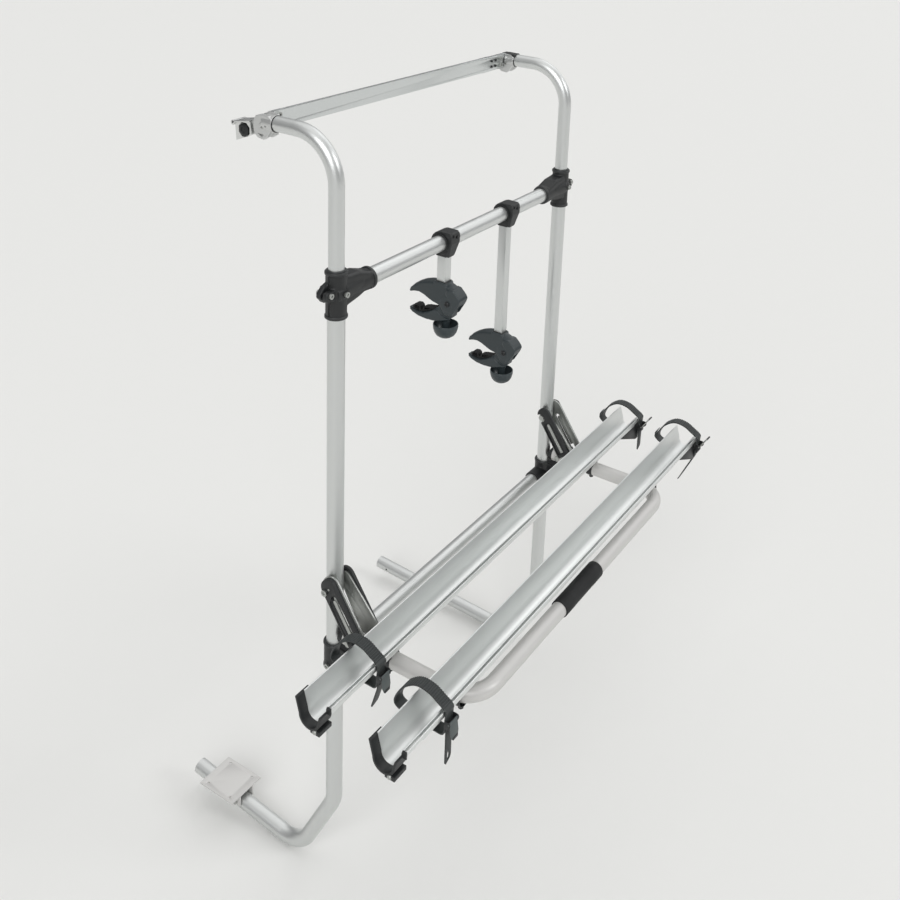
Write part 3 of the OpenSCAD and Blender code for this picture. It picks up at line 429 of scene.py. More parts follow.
def material(name, hex_colour, metallic, roughness, grain_mm, bump, spread=0.06,
             rough_spread=0.08, stretch=(1, 1, 1), painted_edge_highlight=0.0):
    """Colour, gloss and relief that vary over the surface by a grain of a real size; convex edges
    can get a painted highlight.
    """
    if name in bpy.data.materials:
        return bpy.data.materials[name]
    made = bpy.data.materials.new(name)
    made.use_nodes = True
    tree = made.node_tree
    shader = tree.nodes["Principled BSDF"]
    base = linear(hex_colour)
    where = add(tree, "ShaderNodeTexCoord")
    scaled = add(tree, "ShaderNodeMapping",
                 {"Vector": where.outputs["Object"], "Scale": stretch})
    fine = add(tree, "ShaderNodeTexNoise",
               {"Vector": scaled.outputs[0], "Scale": 1 / (grain_mm * MM), "Detail": 3,
                "Roughness": 0.55})
    broad = add(tree, "ShaderNodeTexNoise",
                {"Vector": scaled.outputs[0], "Scale": 1 / (60 * MM), "Detail": 2})
    mixed = add(tree, "ShaderNodeMix",
                {0: 0.45, 2: fine.outputs["Fac"], 3: broad.outputs["Fac"]})
    darker = [c * (1 - spread) for c in base[:3]] + [1]
    lighter = [min(1, c * (1 + spread)) for c in base[:3]] + [1]
    tone = add(tree, "ShaderNodeMix", {0: mixed.outputs[0], 6: darker, 7: lighter},
               data_type="RGBA")
    colour = tone.outputs[2]
    # Painted highlight: convex edges, found by pointiness, are lightened towards a paler colour
    if painted_edge_highlight:
        shape = add(tree, "ShaderNodeNewGeometry")
        edge = add(tree, "ShaderNodeMapRange",
                   {"Value": shape.outputs["Pointiness"], "From Min": 0.51, "From Max": 0.58,
                    "To Min": 0, "To Max": painted_edge_highlight})
        highlight_colour = [min(1, c * 1.9 + 0.02) for c in base[:3]] + [1]
        lit = add(tree, "ShaderNodeMix", {0: edge.outputs[0], 6: colour, 7: highlight_colour},
                  data_type="RGBA")
        colour = lit.outputs[2]
    tree.links.new(colour, shader.inputs["Base Color"])
    rough = add(tree, "ShaderNodeMapRange",
                {"Value": mixed.outputs[0], "From Min": 0.3, "From Max": 0.7,
                 "To Min": roughness - rough_spread, "To Max": roughness + rough_spread})
    tree.links.new(rough.outputs[0], shader.inputs["Roughness"])
    relief = add(tree, "ShaderNodeBump",
                 {"Height": fine.outputs["Fac"], "Strength": bump, "Distance": 0.0004})
    tree.links.new(relief.outputs[0], shader.inputs["Normal"])
    shader.inputs["Metallic"].default_value = metallic
    return made


def tube_metal(direction):
    """Drawn aluminium tube, satin anodised: faint die lines run along the tube."""
    along = {"X": (0.004, 1, 1), "Z": (1, 1, 0.004)}[direction]
    return material("satin_anodised_tube_" + direction, colours().tube, 1, 0.4, 1.4, 0.03,
                    spread=0.03, rough_spread=0.02, stretch=along)


def rail_metal():
    """Bright anodised extrusion: smooth satin sheen, with long faint die lines."""
    return material("bright_anodised_extrusion", colours().rail, 1, 0.4, 2.5, 0.015,
                    spread=0.012, rough_spread=0.012, stretch=(0.0006, 1, 1))


def strip_metal():
    """Rolled aluminium strip: smooth, with faint rolling lines."""
    return material("rolled_aluminium_strip", "#d6d9d9", 1, 0.26, 2.0, 0.015, spread=0.015,
                    rough_spread=0.015, stretch=(0.002, 1, 1))


def lever_plastic():
    """Moulded grey plastic of the near levers and far keepers: paler, with a soft sheen."""
    return material("moulded_grey_lever", "#4b5252", 0, 0.42, 0.6, 0.1, spread=0.08)


def coat():
    """Powder coat: slightly pebbled, soft sheen."""
    return material("powder_coated_steel", colours().coat, 0.25, 0.42, 1.6, 0.10, spread=0.02,
                    rough_spread=0.04)


def nylon():
    """Glass-filled nylon from a grained mould: matt, with a painted highlight on its edges."""
    return material("moulded_black_nylon", colours().black, 0, 0.47, 0.6, 0.22, spread=0.12,
                    painted_edge_highlight=0.5)


def nylon_plain():
    """The same nylon on pieces carried over from the frame."""
    return material("moulded_black_nylon_plain", colours().black, 0, 0.47, 0.6, 0.2,
                    spread=0.12)


def claw_plastic():
    """Smooth moulded claw plastic with a soft sheen, and a painted highlight on its crowned
    edges.
    """
    return material("moulded_claw_plastic", colours().claw, 0, 0.36, 0.7, 0.12, spread=0.1,
                    painted_edge_highlight=0.45)


def strap_plastic():
    """Flexible moulded plastic: matt, with a painted highlight on its ribs."""
    return material("ribbed_strap_plastic", colours().strap, 0, 0.5, 0.5, 0.2, spread=0.1,
                    painted_edge_highlight=0.35)


def sleeve_rubber():
    """Closed-cell rubber: matt, with a fine cell structure."""
    return material("closed_cell_rubber", colours().grip, 0, 0.72, 0.9, 0.5, spread=0.18)


def casting():
    """Matt zinc die casting: cloudy, with a sandy skin and a painted highlight on its edges."""
    return material("matt_zinc_casting", colours().zinc, 0.85, 0.4, 0.9, 0.3, spread=0.07,
                    painted_edge_highlight=0.3)


def bright_casting():
    """Polished zinc casting of the wall hooks: bright, with soft reflections."""
    return material("polished_zinc_casting", "#d9dad9", 1, 0.24, 1.2, 0.1, spread=0.04)


def plated():
    """Zinc-plated steel: pale grey fasteners with a dull shine."""
    return material("zinc_plated_steel", "#b2b4b1", 1, 0.42, 0.6, 0.08, spread=0.05,
                    rough_spread=0.02)


def dark_plated():
    """Black-plated steel: dark, with a metal's shine at its edges."""
    return material("black_plated_steel", "#3a3b3c", 0.8, 0.38, 0.5, 0.12, spread=0.08)


# Pieces

class RackTubes(bpy.types.Operator):
    """Uprights, crossbars, top tubes and arm tubes, as packed, in satin anodised aluminium"""
    bl_idname = "rack.tubes"
    bl_label = "Tubes"

    def execute(self, context):
        for node in ("left_upright", "right_upright", "left_top_tube", "right_top_tube"):
            finish_node(node, tube_metal("Z"))
        for node in ("middle_crossbar", "lower_crossbar"):
            finish_node(node, tube_metal("X"))
        for k, x, drop in ARMS:
            soften("arm_%s_tube" % k, "arm_%s_square_tube" % k, tube_metal("Z"),
                   0.0012)
        return {"FINISHED"}


class RackTeeClamps(bpy.types.Operator):
    """Cast tees that join uprights, top tubes and middle crossbar"""
    bl_idname = "rack.tee_clamps"
    bl_label = "Tee clamps"

    def execute(self, context):
        low, high, reach = BAR_Z - 50, 1428, 95
        near_lug = [(-37, 1376), (-40.5, 1379), (-42, 1386), (-40.5, 1393), (-37, 1396),
                    (-12, 1397), (-12, 1375)]
        far_lug = [(-31, 1371), (-42, 1383), (-42, 1391), (-31, 1403), (-12, 1408), (-12, 1366)]
        skirt = [(0, 1352), (20, 1356), (48, 1361), (64, 1366), (93, 1364), (93, 1402),
                 (82, 1403), (52, 1413), (27, 1415), (0, 1418)]
        web = bevel(slab(skirt, 18.6, "Y"), 7, 3, 60)
        hood = cast([
            rod((0, 0, (low + high) / 2), 20.6, high - low - 4, "Z", 64),
            rod((reach / 2 + 2, 0, BAR_Z), 21.0, reach - 6, "X", 64),
            rod((32, 0, BAR_Z + 3), 24.5, 52, "X", 64, 20.6),
            web,
            plate(near_lug, -13, -2, "Y"), plate(far_lug, 2, 13, "Y"),
            rod((0, -16, BAR_Z + 2), 8.5, 12, "Y"),
            rod((-16.6, 1.5, BAR_Z + 1), 9.5, 9.6, "X"),
            block((-14, -20.8, BAR_Z - 8.2), (4, -12, BAR_Z + 10.2)),
        ], rounds=7)
        notch = [(46, 1361), (64, 1372), (84, 1371), (80, 1366), (62, 1363)]
        cut(hood, plate(notch, -30, -17.2, "Y"), plate(notch, 17.2, 30, "Y"))
        cut(hood, rod((0, 0, (low + high) / 2), BORE, 130, "Z", 64),
            rod((reach, 0, BAR_Z), BORE, 2 * reach - 40, "X", 64),
            rod((0, -25, BAR_Z + 2), 6.6, 8, "Y"),
            block((-60, -1.5, low - 5), (-17, 1.5, high + 5)))
        rims = [lathe([(BORE, 0), (21.4, 0), (22.4, 1.2), (22.4, 5), (21.2, 6.5), (BORE, 6.5)],
                      (0, 0, z)) for z in (low, high - 6.5)]
        rims.append(lathe([(BORE, 0), (22, 0), (23.2, 1.2), (23.2, 5.5), (22, 7), (BORE, 7)],
                          (reach - 6, 0, BAR_Z), "X"))
        collar = lathe([(15.7, 0), (19, 0), (19, 1.5), (18, 3), (15.7, 3)], (0, 0, high - 0.4))
        piece = join([hood, *rims, collar])
        for name, part in (("left_tee_casting", piece), ("right_tee_casting", mirrored(piece))):
            settle(part, name, "frame", nylon(),
                   [name.replace("_casting", "_clamp")])
        return {"FINISHED"}


class RackLowerClamps(bpy.types.Operator):
    """Cast clamps at the lower crossbar that carry the platform's hinge tongues"""
    bl_idname = "rack.lower_clamps"
    bl_label = "Lower clamps"

    def execute(self, context):
        arm = [(-18, 557), (-18, 604), (-40, 622), (-61, 627), (-58, 598), (-48, 566)]
        rib = [(-16, 551), (-16, 601), (-45, 597), (-55, 585), (-44, 557)]
        hinge = (0, -50, PLATFORM_Z)
        body = cast([
            rod((0, 0, 575), 22.3, 58, "Z", 64),
            rod((29, 0, LOWER_BAR_Z), 21.4, 57, "X", 64),
            slab(arm, 6), slab(rib, 12.5),
            rod(hinge, 10.8, 12, "X"),
            rod((-14, 0, 556), 9, 18, "X"),
        ], rounds=5)
        cut(body, rod((0, 0, 575), BORE, 80, "Z", 64),
            rod((40, 0, LOWER_BAR_Z), BORE, 50, "X", 64),
            rod(hinge, 4.1, 40, "X"), rod((-23, 0, 556), 6, 5, "X"))
        rims = [lathe([(BORE, 0), (22.6, 0), (23.6, 1.2), (23.6, 4), (22.6, 5), (BORE, 5)],
                      (0, 0, z)) for z in (545, 600)]
        piece = join([body, *rims])
        for name, part in (("left_lower_casting", piece),
                           ("right_lower_casting", mirrored(piece))):
            settle(part, name, "frame", nylon(),
                   [name.replace("_casting", "_clamp")])
        return {"FINISHED"}


class RackFasteners(bpy.types.Operator):
    """Bolts, pins and the folded foot bracket, with their edges broken"""
    bl_idname = "rack.fasteners"
    bl_label = "Fasteners and foot bracket"

    def execute(self, context):
        soften("frame_bolts", "frame_socket_screws", plated(), 0.0005)
        soften("top_bolts", "top_socket_screws", plated(), 0.0004)
        soften("hinge_pins", "platform_hinge_pins", plated(), 0.0006)
        soften("platform_bolts", "stay_slide_bolts", plated(), 0.0008)
        soften("foot_bracket", "folded_foot_bracket", coat(), 0.0007)
        return {"FINISHED"}


class RackTopEnds(bpy.types.Operator):
    """Knuckles, tilting wall hooks with their knobs, and the strip between them"""
    bl_idname = "rack.top_ends"
    bl_label = "Top ends"

    def execute(self, context):
        self.knuckles()
        self.hooks()
        self.knobs()
        self.strip()
        return {"FINISHED"}

    def knuckles(self):
        cheek = [(150, 1696), (156, 1701), (176, 1702.5), (188, 1698), (194, 1689),
                 (195, 1676), (192, 1662), (182, 1655), (168, 1653.5), (158, 1660),
                 (151, 1672)]
        knuckle = cast([
            rod((0, 160, 1685.4), 17.4, 26, "Y", 64),
            plate(cheek, -14.8, -6.8), plate(cheek, 6.8, 14.8),
            slab([(150, 1697), (166, 1702), (166, 1658), (152, 1670)], 14.6),
            block((13, 179.4, 1667), (46.5, 183.8, 1702)),
            rod((-15, 172, 1681), 5.4, 2.4, "X"),
        ], rounds=4, grain=0.8)
        window = plate([(166, 1664), (183, 1664), (172, 1658)], -30, -6)
        cut(knuckle, window, rod((0, *HOOK_PIN), 3.1, 60, "X"),
            block((-6.5, 166, 1640), (6.5, 210, 1710)), rod((0, 150, TOP_Z), 15.6, 9, "Y", 64),
            rod((-15.5, 161.5, 1681), 1.9, 4, "X"))
        seam = lathe([(15.6, 0), (16.8, 0), (16.8, 1.6), (15.6, 1.6)], (0, 146, TOP_Z - 0.5),
                     "Y")
        for side, part, ring in (("left", knuckle, seam),
                                 ("right", mirrored(knuckle), mirrored(seam))):
            settle(part, side + "_knuckle_casting", "top_hoop", casting(),
                   [side + "_knuckle"])
            settle(ring, side + "_knuckle_seam", "top_hoop", nylon_plain())

    def hooks(self):
        frame_loop = [(199.5, 1657.5), (203.2, 1683.5), (243.5, 1674.4), (240.8, 1639.6)]
        hook = cast([
            slab(frame_loop, 14),
            slab([(171, 1669.5), (201, 1669.5), (201, 1682), (171, 1684.5)], 5.9),
            rod((0, *HOOK_PIN), 7.8, 11.8, "X"),
        ], rounds=2, grain=0.8)
        y, z = HOOK_KNOB
        octagon = [(y + 15.4 * math.cos(math.radians(22.5 + 45 * i)),
                    z + 15.4 * math.sin(math.radians(22.5 + 45 * i))) for i in range(8)]
        cut(hook, plate(octagon, -20, -7), rod((0, *HOOK_PIN), 3.1, 40, "X"),
            rod((0, y, z), 3.1, 60, "X"))
        flange = bevel(slab([(203, 1682.6), (203, 1685.8), (247, 1677.9), (250, 1673),
                             (247, 1671.5), (244, 1674)], 17), 0.8)
        lip = bevel(rod((0, 247, 1674), 4.9, 34, "X", 32), 0.9)
        body = join([hook, flange, lip])
        for side, part in (("left", body), ("right", mirrored(body))):
            settle(part, side + "_wall_hook", side + "_hook_body", bright_casting(),
                   [side + "_hook"])

    def knobs(self):
        y, z = HOOK_KNOB
        knob = lathe([(3, 0), (9, 0), (12.6, 1.6), (13, 4), (13, 7.5), (11.5, 9), (3, 9)],
                     (-17, y, z), "X", 48)
        cut(knob, rod((-17.2, y, z), 7.5, 3.2, "X", 48, end_radius=5.5))
        for i in range(10):
            a = math.radians(36 * i)
            cut(knob, rod((-12.5, y + 14.2 * math.cos(a), z + 14.2 * math.sin(a)), 2.2, 12,
                          "X", 16))
        stem = rod((0.6, y, z), 3, 33, "X", 32)
        nut = bevel(rod((16, y, z), 6, 3, "X", 6), 0.4)
        handle = join([knob, stem, nut])
        for side, part in (("left", handle), ("right", mirrored(handle))):
            settle(part, side + "_hook_hand_knob", side + "_knob_body", dark_plated(),
                   [side + "_hook_knob"])

    def strip(self):
        soften("top_strip", "top_flat_strip", strip_metal(), 0.0008)
        studs = [bevel(rod((GAP - 71 + 17 * i, 174.3, 1676 + 14 * k), 3.4, 1.8, "Y", 6), 0.4)
                 for i in (0, 1) for k in (0, 1)]
        settle(join(studs), "strip_end_rivets", "top_hoop", dark_plated())
        clip = bevel(block((GAP - 14, 144, 1693), (GAP + 10, 184, 1703)), 2.4, 3)
        cut(clip, rod((GAP, 150, TOP_Z), 15.7, 90, "Y", 64))
        settle(clip, "right_knuckle_clip", "top_hoop", nylon_plain())


class RackPlatform(bpy.types.Operator):
    """Platform tube, its sleeve and plugs, and the saddles under the rails"""
    bl_idname = "rack.platform"
    bl_label = "Platform"

    def execute(self, context):
        finish_node("platform_tube", coat())
        sleeve = lathe([(17.7, 0), (19.2, 0), (20, 1.2), (20, 40), (19.7, 41), (19.7, 124),
                        (20, 125), (20, 163.8), (19.2, 165), (17.7, 165)],
                       (321, -352, PLATFORM_Z), "X", 72)
        settle(sleeve, "rubber_grip_sleeve", "platform", sleeve_rubber(),
               ["grip_sleeve"])
        soften("tube_end_plugs", "domed_tube_plugs", nylon_plain(), 0.0008)
        rows = []
        for x in (0, GAP):
            for index in (0, 1):
                y = -RAIL_Y - index * RAIL_PITCH
                seat = bevel(block((x - 15, y - 9, 640), (x + 15, y + 9, 649.2)), 1.6)
                clip = rod((x, y, PLATFORM_Z), 19.4, 16, "Y", 64)
                bolt = bevel(rod((x - 4, y - 2, 610.4), 6.2, 7, "Z", 6), 0.8)
                rows.append(cut(cast([seat, clip, bolt], rounds=2, grain=1.0),
                                rod((x, y, PLATFORM_Z), 17.55, 80, "Y", 64)))
        settle(join(rows), "rail_saddle_blocks", "platform", nylon_plain(),
               ["rail_saddles"])
        return {"FINISHED"}


class RackRails(bpy.types.Operator):
    """Wheel rails and the moulded caps on their near ends"""
    bl_idname = "rack.rails"
    bl_label = "Rails"

    def execute(self, context):
        for index in (1, 2):
            soften("rail_%d" % index, "wheel_rail_%d" % index, rail_metal(),
                   0.0005)
        soften("rail_end_caps", "rail_cap_shells", nylon_plain(), 0.0012, 3)
        parts = []
        for index in (0, 1):
            y = -RAIL_Y - index * RAIL_PITCH
            parts.append(lathe([(0.2, 0), (3.6, 0), (4.4, 1), (4.4, 3), (0.2, 3)],
                               (RAIL_X0 - 22.4, y - 14, RAIL_Z - 1), "X", 32))
        settle(join(parts), "rail_cap_screws", "platform", plated())
        return {"FINISHED"}


class RackStays(bpy.types.Operator):
    """Slotted stays and their moulded covers"""
    bl_idname = "rack.stays"
    bl_label = "Stays"

    def execute(self, context):
        lean = math.radians(STAY_LEAN)
        down = Vector((0, -math.sin(lean), -math.cos(lean)))
        front = Vector((0, -math.cos(lean), math.sin(lean)))
        base = Vector((0, 0, STAY_Z)) + 16 * front

        def local(points, low, high):
            """A plate from (down the stay, to its front) points, between two x values."""
            spots = [base + s * down + t * front for s, t in points]
            return plate([(p.y, p.z) for p in spots], low, high)

        def rounded(s0, s1, t0, t1):
            r = (t1 - t0) / 2
            arc = [math.pi * k / 12 for k in range(13)]
            return ([(s0 + r - r * math.sin(a), t0 + r - r * math.cos(a)) for a in arc]
                    + [(s1, t1), (s1, t0)])

        for side in ("left", "right"):
            other = side == "right"
            soften(side + "_stay_plates", side + "_stay_steel_plates", plated(),
                   0.0006)
            cover = soften(side + "_stay_cover", side + "_stay_moulding", nylon_plain(),
                           0.0018, 3)
            for cutter in (local(rounded(17, 112, -18, 9), -33, -27.6),
                           local([(-34, 18.4), (150, 18.4), (150, 30), (-34, 30)], -40, -20),
                           rod((-33, -10.3, 749), 2.6, 5, "X")):
                cutter = turned(cutter) if other else cutter
                cutter.data.transform(TO_ROW)
                cut(cover, cutter)
            dress(cover, nylon_plain())
            bar = bevel(local(rounded(21, 104, -7.2, 1.5), -29.6, -26.4), 0.8)
            rivet = lathe([(0.3, 0), (2.4, 0.2), (2.4, 2), (0.3, 2)], (-31.8, -10.3, 749), "X",
                          24)
            inner = bevel(local(rounded(-24, 116, -21, 18.4), 23.1, 30), 1.2)
            cut(inner, rod((26, 0, STAY_Z), 12, 20, "X"),
                local(rounded(17, 108, -18, 9), 27, 33))
            spine = bevel(local(rounded(21, 104, -7.2, 1.5), 26.2, 29.2), 0.8)
            for part, name, finish, slot in (
                    (bar, "_stay_slide_bar", plated(), "zinc_steel"),
                    (rivet, "_stay_rivet", plated(), "zinc_steel"),
                    (inner, "_stay_inner_cover", nylon_plain(), "black_plastic"),
                    (spine, "_stay_inner_bar", plated(), "zinc_steel")):
                settle(turned(part) if other else part, side + name, side + "_stay", finish)
        return {"FINISHED"}


class RackArms(bpy.types.Operator):
    """Bushes and bar clamps of the two arms"""
    bl_idname = "rack.arms"
    bl_label = "Arm clamps"

    def execute(self, context):
        tongue = [(-16.6, 1402), (-12, 1408), (12, 1408), (16.6, 1402), (16.6, 1385),
                  (11, 1354), (9, 1350.5), (-11, 1350.5), (-13, 1354), (-16.6, 1385)]
        flank = [(-22, 1396), (-27, 1388), (-24, 1366), (-18, 1350.5), (12.5, 1350.5),
                 (15, 1358), (22, 1374)]
        shell = cast([
            rod((0, 0, BAR_Z), 25.6, 33, "X", 64),
            bevel(plate(tongue, -28.4, -16, "Y"), 1.2),
            slab(flank, 13.6),
            block((-16.4, -24, 1396), (16.4, 4, 1408.4)),
        ], rounds=4, grain=1.03)

        def leaned(co):
            """The tongue's front runs back towards the arm's tube at its foot."""
            front = max(0, min(1, (-co.y - 10) / 14))
            return Vector((co.x, co.y + max(0, 1384 - co.z) * 0.28 * front, co.z))

        taper(shell, leaned)
        cut(shell, rod((-9.5, -29.5, 1401), 3.6, 6, "Y"), rod((2, -29.5, 1397), 3.2, 6, "Y"))
        cut(shell, rod((0, 0, BAR_Z), 20.8, 60, "X", 64),
            block((-11.1, -11.1, BAR_Z - 40), (11.1, 11.1, BAR_Z - 25.8)))
        bolt = lathe([(0.3, 0), (4.6, 0), (5.4, 0.8), (5.4, 2.6), (0.3, 2.6)],
                     (9.5, -29.6, BAR_Z + 14), "Y", 32)
        for k, x, drop in ARMS:
            soften("arm_%s_bush" % k, "arm_%s_split_bush" % k, nylon_plain(),
                   0.0006)
            settle(shifted(shell, (x, 0, 0)), "arm_%s_clamp_shell" % k, "arm_%s" % k, nylon(),
                   ["arm_%s_bar_clamp" % k])
            settle(shifted(bolt, (x, 0, 0)), "arm_%s_clamp_bolt" % k, "arm_%s" % k,
                   dark_plated())
        for pattern in (shell, bolt):
            bpy.data.objects.remove(pattern)
        return {"FINISHED"}


def from_pivot(points):
    """A claw's outline as (y, z) points, from points measured at its pivot."""
    return [(CLAW_Y + u, v) for u, v in points]


def crowned(co):
    """Beak and jaw narrow to their tips, and the beak's back is crowned."""
    u = co.y - CLAW_Y
    reach = max(0, (u - 30) / 75)
    side = co.x / 17
    drop = 6.5 * side ** 2 if co.z > 12 and abs(u - 22) > 15 else 0
    drop *= max(0, min(1, (co.z - 12) / 14))
    return Vector((co.x * (1 - 0.3 * reach ** 1.5), co.y, co.z - drop))


class RackClaws(bpy.types.Operator):
    """Screw claws: fixed upper claw, swinging lower jaw with its pad, and the hand knob"""
    bl_idname = "rack.claws"
    bl_label = "Claws"

    def execute(self, context):
        # Each piece is modelled once, with the claw's pivot at z = 0
        patterns = (
            (self.head(), "upper_shell", "arm_%s", claw_plastic(), "claw_plastic", "body"),
            (self.collar(), "collar", "arm_%s", nylon(), "black_plastic", None),
            (self.caps(), "pivot_caps", "arm_%s", dark_plated(), "zinc_steel", None),
            (self.jaw(), "lower_jaw", "claw_%s_lower", claw_plastic(), "claw_plastic", "jaw"),
            (self.pad(), "rubber_pad", "claw_%s_lower", sleeve_rubber(), "black_plastic", "pad"),
            (self.knob(), "hand_knob", "claw_%s_screw", claw_plastic(), "claw_plastic", "knob"),
        )
        for k, x, drop in ARMS:
            for pattern, name, body, finish, slot, node in patterns:
                settle(shifted(pattern, (x, 0, BAR_Z - drop)), "claw_%s_%s" % (k, name),
                       body % k, finish, ["claw_%s_%s" % (k, node)] if node else [])
        for row in patterns:
            bpy.data.objects.remove(row[0])
        return {"FINISHED"}

    def head(self):
        upper = [(105, 1), (93, 5.5), (79.4, 7.8), (65.6, 5.1), (51.8, -0.7), (38, -5.2),
                 (27, -7), (20, -10), (14, -18), (8, -27), (-2, -30), (-12, -25), (-17, -17),
                 (-23, -6), (-28, 3), (-31.8, 13), (-30, 18), (-22, 26), (-11, 36), (0, 41.5),
                 (14, 45.5), (38, 45.5), (54.4, 42.5), (68, 38), (81.4, 31), (94.8, 21.5),
                 (103, 12), (106.5, 5)]
        shoulder = [(-4, -28), (-13, -24), (-18, -15), (-24, -5), (-29, 4), (-32, 13),
                    (-30, 18), (-24, 25), (-14, 34), (-6, 35), (2, 31), (4.5, 24), (2, 17),
                    (-5, 10), (-10, 3), (-12, -6), (-8, -16)]
        head = cast([
            slab(from_pivot(upper), 15.6),
            rod((0, CLAW_Y, 0), 18, 33, "X", 48),
        ], rounds=6, grain=1.5)
        taper(head, crowned)
        saddle = bevel(slab(from_pivot(shoulder), 17), 1.8, 3, 60)
        head = join([head, saddle])
        modify(head, "REMESH", mode="VOXEL", voxel_size=1.1)
        modify(head, "SMOOTH", factor=0.5, iterations=2)
        mouth = [(-36, -60), (-36, -4), (0, 0), (20, -3), (34, -3), (40, -60)]
        return cut(head, slab(from_pivot(mouth), 11.9),
                   rod((0, CLAW_Y, 0), 20.8, 23.8, "X", 64),
                   block((-11.6, -11.6, 34), (11.6, 11.6, 80)))

    def collar(self):
        return cut(bevel(block((-13.2, -13.2, 40), (13.2, 13.2, 46)), 1),
                   block((-11.1, -11.1, 36), (11.1, 11.1, 50)))

    def caps(self):
        bosses = []
        for back, face in ((-19.2, -19.0), (16.8, 19.0)):
            boss = lathe([(0.3, 0), (5, 0), (6.2, 1), (6.2, 2.4), (0.3, 2.4)],
                         (back, CLAW_Y, 0), "X", 32)
            bosses.append(cut(boss, rod((face, CLAW_Y, 0), 2.6, 1.4, "X", 6)))
        return join(bosses)

    def jaw(self):
        lower = [(18, -8), (32.5, -19), (48.4, -29.5), (67.3, -38), (83.8, -40), (94.9, -38),
                 (103.4, -34.7), (107, -36), (106, -41), (99, -46.5), (88, -50.6), (78, -52),
                 (57, -52), (40, -51), (24, -48.8), (3, -42), (-9, -32), (-14, -14), (0, -20)]
        skirt = [(33, -21.5), (48.4, -31), (67.3, -39.5), (83.8, -41.5), (94.9, -39.5),
                 (103, -36), (105, -40), (97, -45.5), (78, -50.5), (57, -51),
                 (40, -50), (24, -47.5), (6, -41), (-5, -36), (7, -34.5), (18, -30.5),
                 (27, -23.5)]
        jaw = cast([
            slab(from_pivot(lower), 10.8),
            slab(from_pivot(skirt), 15.5),
            rod((0, CLAW_Y, 0), 19.6, 21.2, "X", 48),
            rod((0, CLAW_Y + 13, -45), 10, 9, "Z", 48),
        ], rounds=6, grain=1.3)
        taper(jaw, crowned)
        return cut(jaw, rod((0, CLAW_Y, 0), 4.1, 60, "X"),
                   rod((0, CLAW_Y + 13, -46), 5.1, 14, "Z"))

    def pad(self):
        small = [(96.5, -36), (97.5, -31), (92, -25.5), (82, -24), (76.5, -28), (75, -38)]
        long = [(71, -38), (69.5, -27), (60, -24), (47, -22), (34, -19.5), (31, -21), (46, -28),
                (60, -34.5)]
        small_hollow = [(92.5, -35), (92, -30), (84, -27.5), (79.5, -30), (79, -36)]
        long_hollow = [(67, -33.5), (66, -28), (58, -26.5), (47, -25), (50, -27.5), (60, -31)]
        bridge = [(72, -38.5), (72, -35), (80, -36), (80, -40)]
        return cast([
            cut(slab(from_pivot(small), 9), slab(from_pivot(small_hollow), 20)),
            cut(slab(from_pivot(long), 9), slab(from_pivot(long_hollow), 20)),
            slab(from_pivot(bridge), 9),
        ], rounds=2, grain=0.7)

    def knob(self):
        return lathe([(0.3, 9), (8, 9.4), (15, 11.6), (20.8, 15.8), (24.8, 22), (27, 29),
                      (28, 35), (28, 40), (27.4, 41.2), (26.2, 41.2), (25.6, 40), (24.4, 32),
                      (21.2, 24), (15.4, 18.4), (8.6, 17), (8.6, 46), (4.9, 46), (4.9, 55),
                      (0.3, 55)], (0, CLAW_Y + 13, -95.2), "Z", 64)


# A strap's middle line around its rail: (y, z) from the rail's middle and underside
ARCH = [(-16, -2.4), (8, -2.4), (38, -1), (66, 4), (76, 14), (70, 34), (54, 57), (28, 74),
        (0, 73), (-22, 62), (-39.4, 51), (-40, 40), (-39, 22), (-38, 6), (-32, -2)]


def smooth_loop(points, steps):
    """A closed curve through the points."""
    out, n = [], len(points)
    for i in range(n):
        a, b, c, d = (Vector(points[(i + k - 1) % n]) for k in range(4))
        for s in range(steps):
            t = s / steps
            out.append(0.5 * (2 * b + (c - a) * t + (2 * a - 5 * b + 4 * c - d) * t * t
                              + (3 * b - a - 3 * c + d) * t ** 3))
    return out


def even_loop(points, count):
    """The same closed line with its points at even distances, and its length."""
    n = len(points)
    lengths = [(points[(i + 1) % n] - points[i]).length for i in range(n)]
    total, out, i, done = sum(lengths), [], 0, 0.0
    for k in range(count):
        want = total * k / count
        while done + lengths[i] < want:
            done += lengths[i]
            i += 1
        out.append(points[i].lerp(points[(i + 1) % n], (want - done) / lengths[i]))
    return out, total


